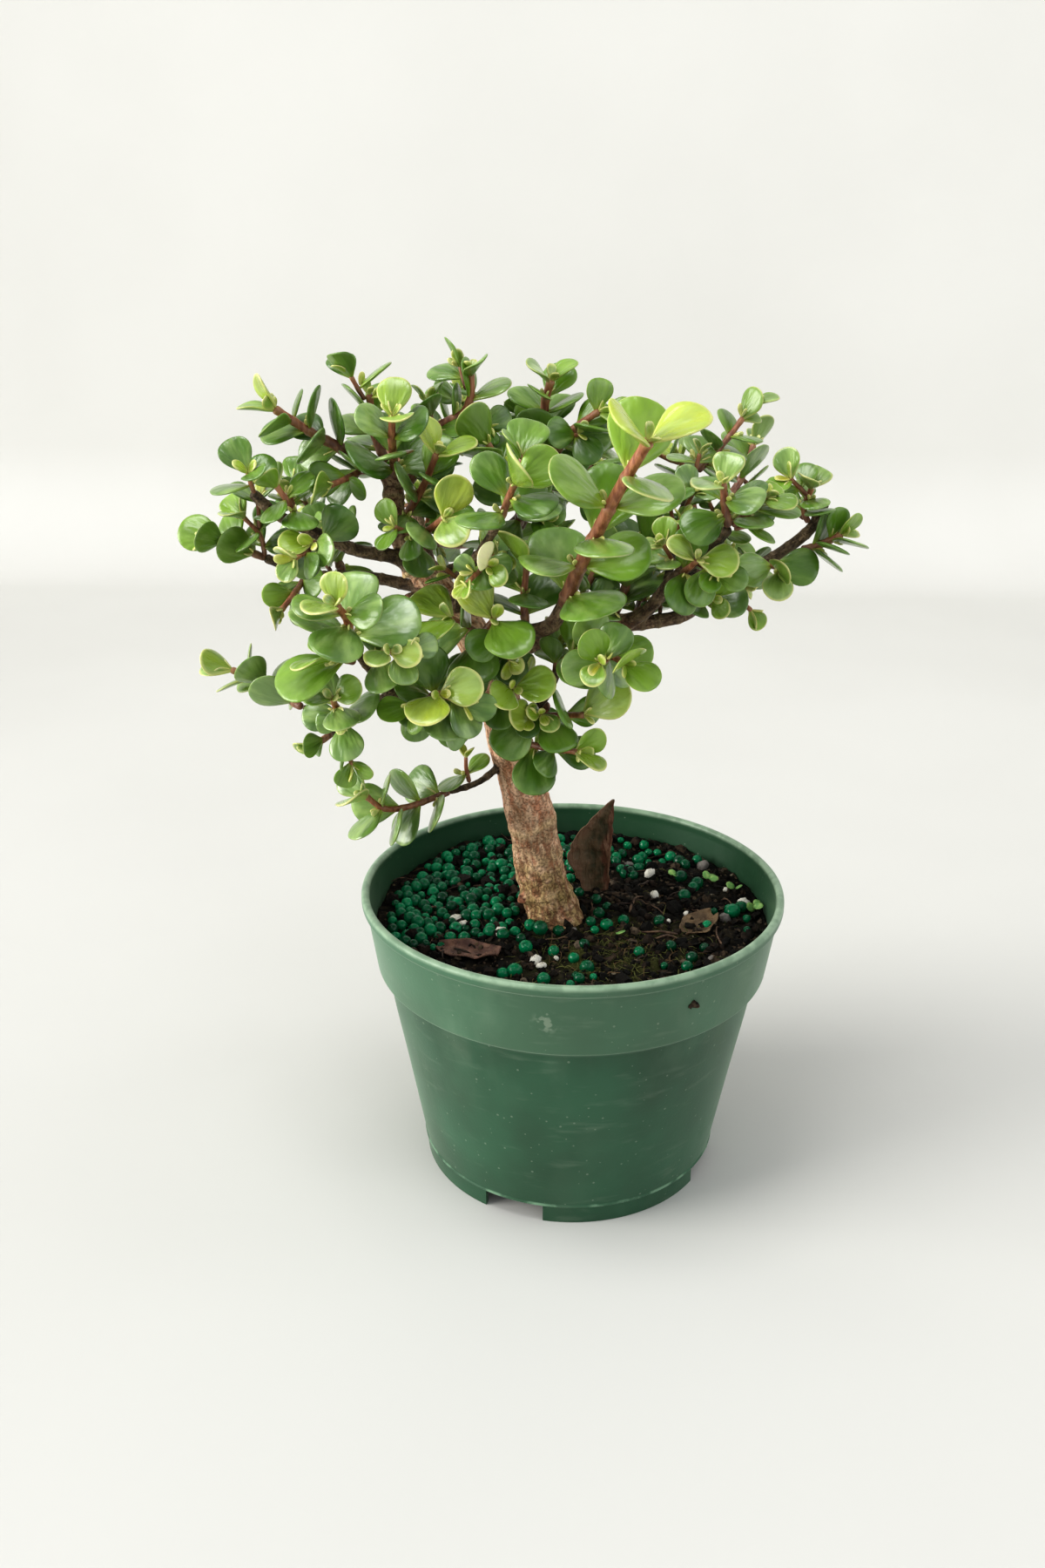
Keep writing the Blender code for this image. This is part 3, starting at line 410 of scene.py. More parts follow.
def soil_top(x, y):
    """The height with the surface's crumbs: lumps of five sizes on the plain height, and shallow pits."""
    flat = np.stack([x, y, np.zeros_like(x)], -1)
    height = soil_height(x, y)
    for size, rise, seed in ((11, 0.8, 1), (5, 0.65, 2), (2.4, 0.55, 3), (1.2, 0.36, 4)):
        height = height + rise * lumps(flat, size, seed)
    height = height + 0.5 * np.abs(lumps(flat, 3.1, 5)) ** 0.5 - 0.3
    for pit_x, pit_y, reach, depth in PITS:
        height = height - depth * np.exp(-(((x - pit_x) ** 2 + (y - pit_y) ** 2) / reach**2) ** 2)
    return height


across = np.linspace(-1, 1, SOIL_CELLS)
u, v = np.meshgrid(across, across, indexing="ij")
disc_x = u * np.sqrt(1 - v**2 / 2)
disc_y = v * np.sqrt(1 - u**2 / 2)
edge = SOIL_RADIUS + SOIL_STEEP * (soil_height(disc_x * SOIL_RADIUS, disc_y * SOIL_RADIUS) - SOIL_LEVEL)
top = np.stack([disc_x * edge, disc_y * edge, soil_top(disc_x * edge, disc_y * edge)], -1)
number = np.arange(SOIL_CELLS**2).reshape(SOIL_CELLS, SOIL_CELLS)
quads = np.stack([number[:-1, :-1], number[1:, :-1], number[1:, 1:], number[:-1, 1:]], -1).reshape(-1, 4)
loop = np.concatenate([number[:-1, 0], number[-1, :-1], number[:0:-1, -1], number[0, :0:-1]])
rim = top.reshape(-1, 3)[loop]
rim_way = unit(rim[:, :2])
side = np.array([
    np.column_stack([rim_way * radius, np.full(len(loop), height)]) for radius, height in SOIL_SIDE
])
base = np.array([[0, 0, SOIL_SIDE[-1][1]]])
below = SOIL_CELLS**2 + np.arange(len(SOIL_SIDE) * len(loop)).reshape(len(SOIL_SIDE), -1)
chain = np.vstack([loop, below])
after = np.roll(chain, -1, axis=1)
walls = np.stack([chain[:-1], chain[1:], after[1:], after[:-1]], -1).reshape(-1, 4)
centre = SOIL_CELLS**2 + below.size
fan = np.column_stack([chain[-1], np.full(len(loop), centre), after[-1]])
points = np.vstack([top.reshape(-1, 3), side.reshape(-1, 3), base])
earth, shader, place = finish_of("moist_potting_mix", "place", 0.82, 0.15)
mossy = times(near(place, MOSS_AT, 0.040, 0.012), mask_of(place, 110, 0.38, 0.6, 4))
colour = painted(
    colour_mix(mask_of(place, 260, 0.42, 0.68, 5), PEAT, LOAM),
    ((0.085, 0.062, 0.040), specks_of(place, 520, 0.5)), ((0.20, 0.17, 0.12), specks_of(place, 340, 0.3)),
    (MOSS, mossy),
)
wet = mask_of(place, 90, 0.5, 0.75, 2)
finished(shader, colour, noise_of(place, 1100.0, 4.0), 0.0006, roughness=ramped(wet, 0, 1, 0.9, 0.5))
soil = piece("potting_soil", points, quads.tolist() + walls.tolist() + fan.tolist(), earth, "soil")
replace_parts(soil, "soil")


# What lies loose on the soil: crumbs of peat and bark, slivers of bark, perlite grains, and prills, which
# are round beads of slow fertiliser in a green coat. Each kind is one pebble or ball, stamped many times.

CRUMBS = 1500
CRUMB_FIELD = 69
SLIVERS = 150
SLIVER_FIELD = 68
# Each sliver that the photograph shows: its place, length, width, heading in degrees, and tone.
CHIPS = (
    (-45, -19, 4.6, 2.4, 20, 0.75), (-35, 21, 5.5, 1.4, 5, 0.72), (43, 54, 4.2, 2.6, 80, 0.9),
    (60, 40, 5.0, 1.7, -15, 0.93), (-38, -28, 4.5, 1.3, 150, 0.7), (33, -18, 4.0, 2.2, 60, 0.85),
    (24, -24, 3.4, 1.7, 100, 0.9), (12, -32, 3.4, 1.9, 30, 0.85), (50, -19, 4.6, 2.0, 40, 0.75),
    (22, 18, 4.2, 1.6, 120, 0.6), (-14, -47, 3.8, 1.6, 0, 0.8), (29, -44, 3.8, 1.9, 140, 0.9),
    (40, -40, 4.4, 1.5, 100, 0.85), (14, -16, 3.0, 1.5, 10, 0.8), (-2, -20, 2.8, 1.4, 70, 0.85),
    (56, -30, 3.6, 1.4, 60, 0.8), (-20, 44, 4.5, 1.5, 30, 0.6), (34, 60, 4.2, 1.5, 160, 0.75),
    (62, -12, 3.6, 1.8, 90, 0.7), (-50, 14, 4.0, 1.4, 110, 0.6),
)
PRILLS = 300
PRILL_SPACING = 3.2
PRILL_DRAWS = 9000
PRILL_FIELD = 66
TRUNK_CLEAR = 12.5
LEAF_CLEAR = 8
# Prills, perlite and grit are each a place and a radius.
PRILLS_SEEN = (
    (-11, -14, 2.9), (-6, -27, 2.1), (-19, -40, 2.8), (-23, -41, 2.3), (-9, -43, 2.4), (3, -44, 2.0),
    (9, 10, 2.1), (10, -2, 2.2), (7, -7, 2.0), (19, 36, 2.0), (32, -3, 2.2), (44, 40, 2.2), (49, 44, 2.1),
    (52, 5, 1.9), (64, 1, 1.8), (42, -28, 2.3), (40, -34, 2.1), (49, -6, 1.9), (46, 22, 2.3),
    (59, 4, 3.0), (-34, -15, 2.2), (-29, -12, 2.1), (-25, -11, 2.3), (-24, -19, 2.3), (-20, -14, 2.2),
)
PERLITE = (
    (30, 32, 2.4), (31, 15, 2.0), (-42, -5, 2.2), (-39, -9, 1.6), (-25, -17, 2.5), (-12, -33, 2.5),
    (-10, -36, 1.7), (64, 12, 2.6), (-15, -25, 1.2), (35, -3, 1.1), (42, 2, 1.2), (-5, -31, 1.0),
    (-27, 2, 1.3), (58, 20, 1.1),
)
GRIT = ((51, 40, 2.6), (1, -12, 1.2), (56, 0, 2.3), (22, 44, 2.1), (49, -28, 1.4))


def turns_of(rng, count):
    """Random rotation matrices: unit quaternions from four normal draws, written out as matrices."""
    w, x, y, z = unit(rng.normal(size=(count, 4))).T
    return np.stack([
        np.stack([1 - 2 * (y**2 + z**2), 2 * (x * y - z * w), 2 * (x * z + y * w)], -1),
        np.stack([2 * (x * y + z * w), 1 - 2 * (x**2 + z**2), 2 * (y * z - x * w)], -1),
        np.stack([2 * (x * z - y * w), 2 * (y * z + x * w), 1 - 2 * (x**2 + y**2)], -1),
    ], 1)


def pebbles(rng, places, sizes, turned, rough, rows=4, columns=6):
    """Closed pebbles at the places: balls, point = r (sin a cos b, sin a sin b, cos a), with points moved
    in or out at random by the share rough, stretched by three sizes, and turned."""
    count = len(places)
    tilt = np.linspace(0, np.pi, rows + 2)[1:-1, None]
    round_turn = np.linspace(0, 2 * np.pi, columns, endpoint=False)
    ball = np.stack(np.broadcast_arrays(
        np.sin(tilt) * np.cos(round_turn), np.sin(tilt) * np.sin(round_turn), np.cos(tilt)), -1)
    rings = ball * (1 + rough * rng.uniform(-1, 1, (count, rows, columns, 1)))
    ends = np.array([(0, 0, 1.0), (0, 0, -1.0)]) * (1 + rough * rng.uniform(-1, 1, (count, 2, 1)))
    rings = np.einsum("nij,nrcj->nrci", turned, rings * sizes[:, None, None]) + places[:, None, None]
    ends = np.einsum("nij,nej->nei", turned, ends * sizes[:, None]) + places[:, None]
    return shells(rings, ends)


def on_soil(x, y, lift):
    """Points that stand by lift over the soil's crumbs."""
    x, y = np.asarray(x, float), np.asarray(y, float)
    return np.column_stack([x, y, soil_top(x, y) + lift])


def spread(rng, count, reach):
    """Places drawn evenly over a disc."""
    turn = rng.uniform(0, 2 * np.pi, count)
    away = reach * np.sqrt(rng.uniform(0, 1, count))
    return away * np.cos(turn), away * np.sin(turn)


def own_chance(rng, count, points):
    """One random number for each of count shells, given to all its points."""
    return np.repeat(rng.uniform(0, 1, count), len(points) // count)


def tones_of(value, *stops):
    """The colour at the value, read between stops of (value, red, green, blue)."""
    ramp = add("ValToRGB", {"Fac": value})
    for number, (at, *tone) in enumerate(stops):
        stop = ramp.color_ramp.elements[number] if number < 2 else ramp.color_ramp.elements.new(at)
        stop.position, stop.color = at, (*tone, 1)
    return ramp.outputs["Color"]


bark_bits, shader, place, chance = finish_of("bark_crumbs", "place chance", 0.85, 0.2)
tones = tones_of(
    chance, (0.0, 0.004, 0.004, 0.003), (0.5, 0.012, 0.009, 0.006), (0.8, 0.035, 0.022, 0.014),
    (0.95, 0.085, 0.060, 0.038), (1.0, 0.18, 0.14, 0.10),
)
finished(shader, colour_mix(mask_of(place, 500, 0.4, 0.7), tones, PEAT), noise_of(place, 1500.0), 0.0003)
rng = np.random.default_rng(11)
x, y = spread(rng, CRUMBS, CRUMB_FIELD)
size = rng.gamma(3.0, 0.32, CRUMBS)[:, None] * rng.uniform(0.6, 1.2, (CRUMBS, 3)) + 0.25
points, faces = pebbles(rng, on_soil(x, y, 0.15 * size[:, 0]), size, turns_of(rng, CRUMBS), 0.3)
crumbs = piece("soil_crumbs", points, faces, bark_bits, "soil", chance=own_chance(rng, CRUMBS, points))
crumbs.data.set_sharp_from_angle(angle=np.radians(35))

x, y = spread(rng, SLIVERS, SLIVER_FIELD)
ranges = ((1.5, 5.0), (0.4, 1.7), (0.2, 0.5))
size = np.column_stack([rng.uniform(low, high, SLIVERS) for low, high in ranges])
heading = rng.uniform(0, 2 * np.pi, SLIVERS)
tones = 0.35 + 0.6 * rng.uniform(0, 1, SLIVERS)
chips, seen = np.array(CHIPS).T, slice(len(CHIPS))
x[seen], y[seen], size[seen, 0], size[seen, 1] = chips[:4]
heading[seen], tones[seen] = np.radians(chips[4]), chips[5]
tip = rng.normal(0, 0.22, SLIVERS)
lengthwise = np.column_stack([np.cos(heading) * np.cos(tip), np.sin(heading) * np.cos(tip), np.sin(tip)])
crosswise = np.column_stack([-np.sin(heading), np.cos(heading), rng.normal(0, 0.2, SLIVERS)])
upward = unit(np.cross(lengthwise, crosswise))
turned = np.stack([lengthwise, np.cross(upward, lengthwise), upward], -1)
points, faces = pebbles(rng, on_soil(x, y, 0.5), size, turned, 0.22)
tones = np.repeat(tones, len(points) // SLIVERS)
slivers = piece("bark_slivers", points, faces, bark_bits, "soil", chance=tones)
slivers.data.set_sharp_from_angle(angle=np.radians(30))

coat_green, shader, place, chance = finish_of("prill_coat", "place chance", 0.2, 0.3)
colour = painted(
    colour_mix(chance, (0.0, 0.048, 0.018), (0.0, 0.225, 0.088)),
    ((0.002, 0.04, 0.02), mask_of(place, 420, 0.55, 0.8, 4)), (LOAM, specks_of(place, 700, 0.35), 0.4),
)
finished(shader, colour, mask_of(place, 900, 0.3, 0.8, 2), 0.00008)
rng = np.random.default_rng(23)
x, y = spread(rng, PRILL_DRAWS, PRILL_FIELD)
left = 1 / (1 + np.exp((x + 13) / 5)) / (1 + np.exp((-y - 17) / 3))
behind = 0.75 * np.exp(-((x - 4) ** 2) / 500 - (y - 50) ** 2 / 160)
likely = 0.014 + np.maximum(left * (0.45 + 0.55 * (x < -30)), behind)
drawn = np.column_stack([x, y, rng.uniform(1.35, 2.65, PRILL_DRAWS)])[rng.uniform(0, 1, PRILL_DRAWS) < likely]
at_trunk = np.hypot(drawn[:, 0] - TRUNK_FOOT[0] + 1, drawn[:, 1] - TRUNK_FOOT[1]) < TRUNK_CLEAR
at_leaf = np.hypot((drawn[:, 0] + 36) / 1.6, drawn[:, 1] + 28) < LEAF_CLEAR
kept = list(PRILLS_SEEN)
for row in drawn[~at_trunk & ~at_leaf]:
    apart = np.hypot(*(np.array(kept)[:, :2] - row[:2]).T)
    if len(kept) < PRILLS and (apart > PRILL_SPACING).all():
        kept.append(tuple(row))
kept = np.array(kept)
places = on_soil(kept[:, 0], kept[:, 1], 0.45 * kept[:, 2])
size = kept[:, 2:] * rng.uniform(0.93, 1.05, (len(kept), 3))
points, faces = pebbles(rng, places, size, turns_of(rng, len(kept)), 0.02, 7, 10)
piece("fertiliser_prills", points, faces, coat_green, "soil", chance=own_chance(rng, len(kept), points))

expanded, shader, place = finish_of("expanded_perlite", "place", 0.8)
colour = colour_mix(mask_of(place, 600, 0.5, 0.75), (0.74, 0.71, 0.62), (0.36, 0.32, 0.25))
finished(shader, colour, noise_of(place, 1800.0), 0.0003)
gravel, shader, place = finish_of("grey_grit", "place", 0.7)
finished(shader, colour_mix(mask_of(place, 500, 0.4, 0.7), (0.20, 0.18, 0.16), (0.09, 0.08, 0.07)))
rng = np.random.default_rng(31)
for name, finish, stones, least, lift, rough in (
    ("perlite", expanded, PERLITE, 0.75, 0, 0.16), ("grit", gravel, GRIT, 0.7, 1.0, 0.1),
):
    x, y, radius = np.array(stones).T
    size = radius[:, None] * rng.uniform(least, 1.1, (len(x), 3))
    places = on_soil(x, y, lift or 0.5 * radius)
    piece(name, *pebbles(rng, places, size, turns_of(rng, len(x)), rough, 7, 9), finish, "soil")


# The trunk and its limbs, one piece of living wood. The bark is thin, brown and fleshy, with fine wrinkles
# along it and a raised ring wherever a pair of leaves once sat. The limbs are tubes along their routes,
# melted into one skin, and then the skin is wrinkled and ringed in the directions of its own limb.

# Each limb: its name, the points that it runs through, and its radius along the way.
Limb = namedtuple("Limb", "name route radii")
LIMBS = [Limb(*row) for row in (
    ("trunk", ((-6, 0, 66), (-6.5, 0, 91), (-13, 0, 121), (-17, -1, 143), (-23, -2, 165), (-28, -3, 184),
        (-33, -4, 197), (-39, -4, 207), (-46, -3, 215), (-53, 0, 223)), (9.4, 9, 8.8, 8.1, 7.7, 6.7, 6.2, 5.9,
        5.7, 4.8)),
    ("cut_stub", ((-47, -2, 214), (-51, -5, 213.5), (-56, -9, 213)), (3.1, 3.1, 3)),
    ("low_stub", ((-22, -5, 172), (-14, -8, 176), (-9, -9, 178)), (2.4, 2.2, 2)),
    ("up", ((-53, 0, 222), (-58, 2, 231), (-61, 3, 240), (-61, 5, 255)), (4.4, 3.9, 3.8, 3.3)),
    ("left_mid", ((-50, -1, 219), (-60, -4, 227), (-72, -8, 230), (-86, -12, 237), (-96, -16, 243), (-103,
        -18, 250)), (2.9, 2.5, 2.2, 2, 1.9, 1.9)),
    ("left_low", ((-45, 2, 214), (-58, 8, 215), (-72, 10, 217), (-91, 8, 218), (-105, 2, 225)), (2.4, 2.2, 2,
        1.8, 1.6)),
    ("left_up", ((-61, 4, 250), (-67, 2, 257), (-74, -2, 260)), (2.6, 2.1, 1.9)),
    ("front", ((-31, -4, 198), (-21, -14, 204), (-9, -22, 209), (-4, -28, 218)), (3, 2.8, 2.6, 2.4)),
    ("right", ((-30, -3, 194), (-18, 4, 195), (-1, 8, 200), (18, 12, 201), (38, 16, 204), (47, 18, 215), (62,
        20, 220), (78, 20, 232), (83, 20, 242)), (3.4, 3.1, 2.9, 2.6, 2.4, 2.3, 2.2, 2, 1.9)),
    ("right_fore", ((15, 11, 201), (24, 5, 208), (32, 0, 220), (44, -6, 233), (48, -10, 239)), (2.6, 2.3, 2.2,
        1.9, 1.7)),
    ("centre", ((-48, 1, 218), (-37, 14, 222), (-22, 22, 231), (-11, 26, 249)), (2.6, 2.3, 2.1, 2)),
    ("fore", ((-41, -6, 210), (-33, -22, 229), (-24, -34, 245)), (2.2, 1.7, 1.4)),
    ("left_fore", ((-26, -4, 172), (-42, -10, 178), (-52, -18, 182), (-61, -26, 186), (-71, -30, 180), (-79,
        -32, 175)), (2.3, 1.9, 1.8, 1.7, 1.6, 1.5)),
    ("left_fore_up", ((-58, -23, 185), (-64, -32, 195), (-70, -40, 207)), (1.8, 1.6, 1.5)),
    ("left_lowest", ((-71, -30, 180), (-80, -28, 180), (-89, -27, 182)), (1.5, 1.4, 1.3)),
    ("left_foot", ((-22, -3, 158), (-32, -8, 150), (-43, -12, 147)), (1.5, 1.3, 1.2)),
    ("right_twig", ((-20, -5, 171), (-11, -14, 181), (-4, -19, 197)), (1.9, 1.5, 1.3)),
    ("right_high", ((30, 2, 216), (33, 16, 232), (40, 30, 250)), (1.7, 1.5, 1.3)),
    ("back", ((-50, 4, 218), (-56, 28, 232), (-62, 50, 246)), (3.4, 2.6, 2)),
    ("back_right", ((-32, 18, 225), (-14, 40, 238), (2, 58, 246)), (2.2, 2, 1.7)),
    ("back_far", ((36, 17, 203), (44, 38, 220), (54, 56, 236)), (2.2, 1.9, 1.6)),
)]
LIMB_SIDES = 20
LIMB_STEP = 0.8
BARK_CELL = 0.74
COLLAR = 0.34
FLARE = 0.34
NODE_STEP = 8.5
NODE_RISE = 0.32
NODE_REACH = 0.75
WRINKLE = 0.16
TRUNK_SCARS = (9, 14.5, 21.6, 28.5, 39, 52.5, 66)
SCAR_STRENGTH = (0.35, 1, 0.3, 0.4, 1, 0.5, 0.6)
NUB_AT = (-17, -5.5, 104)
NUB_RISE = 3
CUT_REACH = 2.6
BLOCKS = 60


def smooth(points, steps):
    """A Catmull-Rom curve through the points, with so many steps from each point to the next."""
    points = np.asarray(points, float)
    ends = 2 * points[0] - points[1], 2 * points[-1] - points[-2]
    a = np.vstack([ends[0], points[:-2]])
    b = points[:-1]
    c = points[1:]
    d = np.vstack([points[2:], ends[1]])
    t = (np.arange(steps) / steps)[:, None, None]
    bend = 2 * a - 5 * b + 4 * c - d
    sway = 3 * b - a - 3 * c + d
    curve = b + (c - a) * t / 2 + bend * t**2 / 2 + sway * t**3 / 2
    curve = curve.transpose(1, 0, 2).reshape(-1, points.shape[1])
    return np.vstack([curve, points[-1]])


def tube_of(limb, steps=2):
    """The smoothed middle line of a limb or stem with its radius at each point."""
    radii = np.interp(np.linspace(0, 1, len(limb.route)), np.linspace(0, 1, len(limb.radii)), limb.radii)
    line = smooth(np.column_stack([limb.route, radii]), steps)
    return line[:, :3], line[:, 3]


def lengths_of(line):
    """The length along the line from its start to each of its points."""
    return np.concatenate([[0], np.cumsum(np.linalg.norm(np.diff(line, axis=0), axis=1))])


def even(line, radii, step):
    """The line and radii at even steps, with the length from the start at each new point."""
    lengths = lengths_of(line)
    at = np.linspace(0, lengths[-1], max(int(round(lengths[-1] / step)), 3) + 1)
    spread_out = np.column_stack([np.interp(at, lengths, column) for column in line.T])
    return spread_out, np.interp(at, lengths, radii), at


def frames_of(line):
    """Along a line: its direction, and two directions across it that are carried along without twist."""
    forward = unit(np.gradient(line, axis=0))
    side = np.cross(forward[0], (0.2, 0.9, 0.4))
    sides = []
    for way in forward:
        side = unit(side - (side @ way) * way)
        sides.append(side)
    sides = np.array(sides)
    return forward, sides, np.cross(forward, sides)


def tube(line, radii, sides):
    """A closed tube: the ring middle + r (cos a, sin a) across the line, with rounded ends."""
    forward, right, up = frames_of(line)
    turns = np.linspace(0, 2 * np.pi, sides, endpoint=False)[:, None]
    rings = np.array(radii)[:, None, None] * (np.cos(turns) * right[:, None] + np.sin(turns) * up[:, None])
    ends = np.array([line[0] - 0.35 * radii[0] * forward[0], line[-1] + 0.35 * radii[-1] * forward[-1]])
    return (line[:, None] + rings)[None], ends[None]


samples, parts = [], []
for number, limb in enumerate(LIMBS):
    line, radii, lengths = even(*tube_of(limb, 8), LIMB_STEP)
    if number:
        root = radii[0]
        radii = radii * (1 + COLLAR * np.exp(-np.maximum(lengths - 0.6 * root, 0) / (1.1 * root)))
    else:
        radii = radii * (1 + FLARE * np.exp(-np.maximum(line[:, 2] - SOIL_LEVEL, 0) / 4.5))
    samples.append(np.column_stack([line, radii, lengths, np.full(len(line), number), *frames_of(line)]))
    parts.append(shells(*tube(line, radii, LIMB_SIDES)))
samples = np.vstack(samples)

bark, shader, place, grain, thick, ringed, risen, cut_end = finish_of(
    "living_bark", "place grain thick ringed risen cut_end", 0.72, 0.3,
)
streaks = mask_of(stretched(grain, (1, 1, 0.36)), 560, 0.36, 0.6, 8)
flecks = mask_of(grain, 1100, 0.48, 0.62, 5)
clouds = mask_of(stretched(place, (1, 1, 0.6)), 75, 0.5, 0.68, 7)
chalk = mask_of(stretched(grain, (1, 1, 2.2)), 800, 0.56, 0.68, 5)
stout = ramped(thick, 1.6, 6.5)
slim_bark = colour_mix(streaks, (0.052, 0.038, 0.022), (0.19, 0.132, 0.074))
stout_bark = colour_mix(streaks, (0.66, 0.30, 0.17), (1.0, 0.66, 0.44))
old_bark = colour_mix(streaks, (0.15, 0.075, 0.026), (0.34, 0.235, 0.080))
colour = painted(
    colour_mix(stout, slim_bark, stout_bark),
    (colour_mix(stout, (0.016, 0.010, 0.006), (0.11, 0.062, 0.034)), flecks, 0.42),
    (colour_mix(stout, (0.018, 0.012, 0.007), (0.19, 0.125, 0.050)), clouds, 0.55),
    (colour_mix(stout, (0.18, 0.125, 0.075), (0.86, 0.66, 0.34)), ringed, 0.85),
    ((0.86, 0.68, 0.50), times(chalk, ramped(thick, 2.5, 6.5, 0, 0.32))),
    (painted(old_bark, ((0.085, 0.040, 0.015), flecks, 0.6)),
     times(ramped(risen, 44, 14), mask_of(place, 260, 0.2, 0.6, 5)), 0.85),
    (colour_mix(mask_of(place, 500, 0.4, 0.65, 4), (0.34, 0.14, 0.075), (0.10, 0.045, 0.025)), cut_end),
)
rough = sums("ADD", times(streaks, 0.6), times(flecks, 0.5))
finished(shader, colour, rough, 0.0007, roughness=ramped(thick, 1.5, 5, 0.5, 0.76))

wood = piece("trunk_and_limbs", *gathered(parts), bark, "bark")
modify(wood, "REMESH", mode="VOXEL", voxel_size=BARK_CELL * MM)
modify(wood, "SMOOTH", iterations=5, factor=0.6)
settle(wood)


def read(vectors, field):
    """The vectors that a mesh keeps for its points, as rows."""
    values = np.empty(len(vectors) * 3, np.float32)
    vectors.foreach_get(field, values)
    return values.reshape(-1, 3).astype(float)


skin = read(wood.data.vertices, "co") / MM
normals = read(wood.data.vertex_normals, "vector")
nearest = [
    (np.linalg.norm(block[:, None] - samples[:, :3], axis=-1) - samples[:, 3]).argmin(axis=1)
    for block in np.array_split(skin, BLOCKS)
]
own = samples[np.concatenate(nearest)]
away = skin - own[:, :3]
thick, number = own[:, 3], own[:, 5]
along = own[:, 4] + (away * own[:, 6:9]).sum(-1)
grain = np.column_stack([(away * own[:, 9:12]).sum(-1), (away * own[:, 12:15]).sum(-1), along + 40 * number])
of_trunk = number == 0
scars = np.exp(-((along[:, None] + 1.6 * lumps(skin, 9, 58)[:, None] - TRUNK_SCARS) / 1.4) ** 2)
trunk_rings = (scars * SCAR_STRENGTH).max(axis=1)
step = NODE_STEP * (1 + 0.25 * np.sin(number * 2.1))
offset = (along + 3 * np.sin(number * 5.3) + 0.7 * lumps(skin, 4, 51)) / step
limb_rings = np.exp(-(((offset - np.round(offset)) * step) / NODE_REACH) ** 2)
ringed = np.where(of_trunk, trunk_rings * (0.65 + 0.35 * lumps(skin, 5, 52)), limb_rings)
near_soil = np.exp(-((skin[:, 2] - SOIL_LEVEL - 2) / 7) ** 2) * of_trunk
nub_at = skin[np.linalg.norm(skin - NUB_AT, axis=1).argmin()]
nub = np.exp(-(np.linalg.norm(skin - nub_at, axis=1) / 2) ** 2)
rise = NODE_RISE * ringed * np.clip(thick / 3, 0.7, 2.6)
rise += WRINKLE * lumps(grain * (1, 1, 0.22), 1.5, 53) * np.clip(thick / 6, 0.35, 1.0)
rise += 0.22 * lumps(grain * (0.6, 0.6, 1.3), 1.3, 59) * np.clip((thick - 3) / 5, 0, 1)
rise += (0.9 * lumps(skin, 9, 54) + 0.35 * lumps(skin, 3.4, 55)) * np.clip((thick - 2.5) / 6, 0, 1)
rise += near_soil * (lumps(skin, 4.2, 56) + 0.8 * np.abs(lumps(skin, 7.5, 57))) + NUB_RISE * nub
wood.data.vertices.foreach_set("co", ((skin + rise[:, None] * normals) * MM).astype(np.float32).ravel())
wood.data.update()
stub_ends = [tube_of(limb)[0][-1] for limb in LIMBS if limb.name.endswith("_stub")]
cut_end = np.max([np.linalg.norm(skin - end, axis=1) < CUT_REACH for end in stub_ends] + [nub > 0.45], axis=0)
risen = skin[:, 2] - soil_height(*skin[:, :2].T)
mark(wood.data, grain=grain * MM, thick=thick, ringed=ringed, cut_end=cut_end, risen=risen)
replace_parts(wood, "trunk")


# The leafy stems. Fleshy leaves sit in opposite pairs, each pair a quarter turn from the last, and turn
# their faces to the light. The old leaves are a deep dull green, and the young ones at the tips are
# yellow-green with a cream edge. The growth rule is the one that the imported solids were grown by.

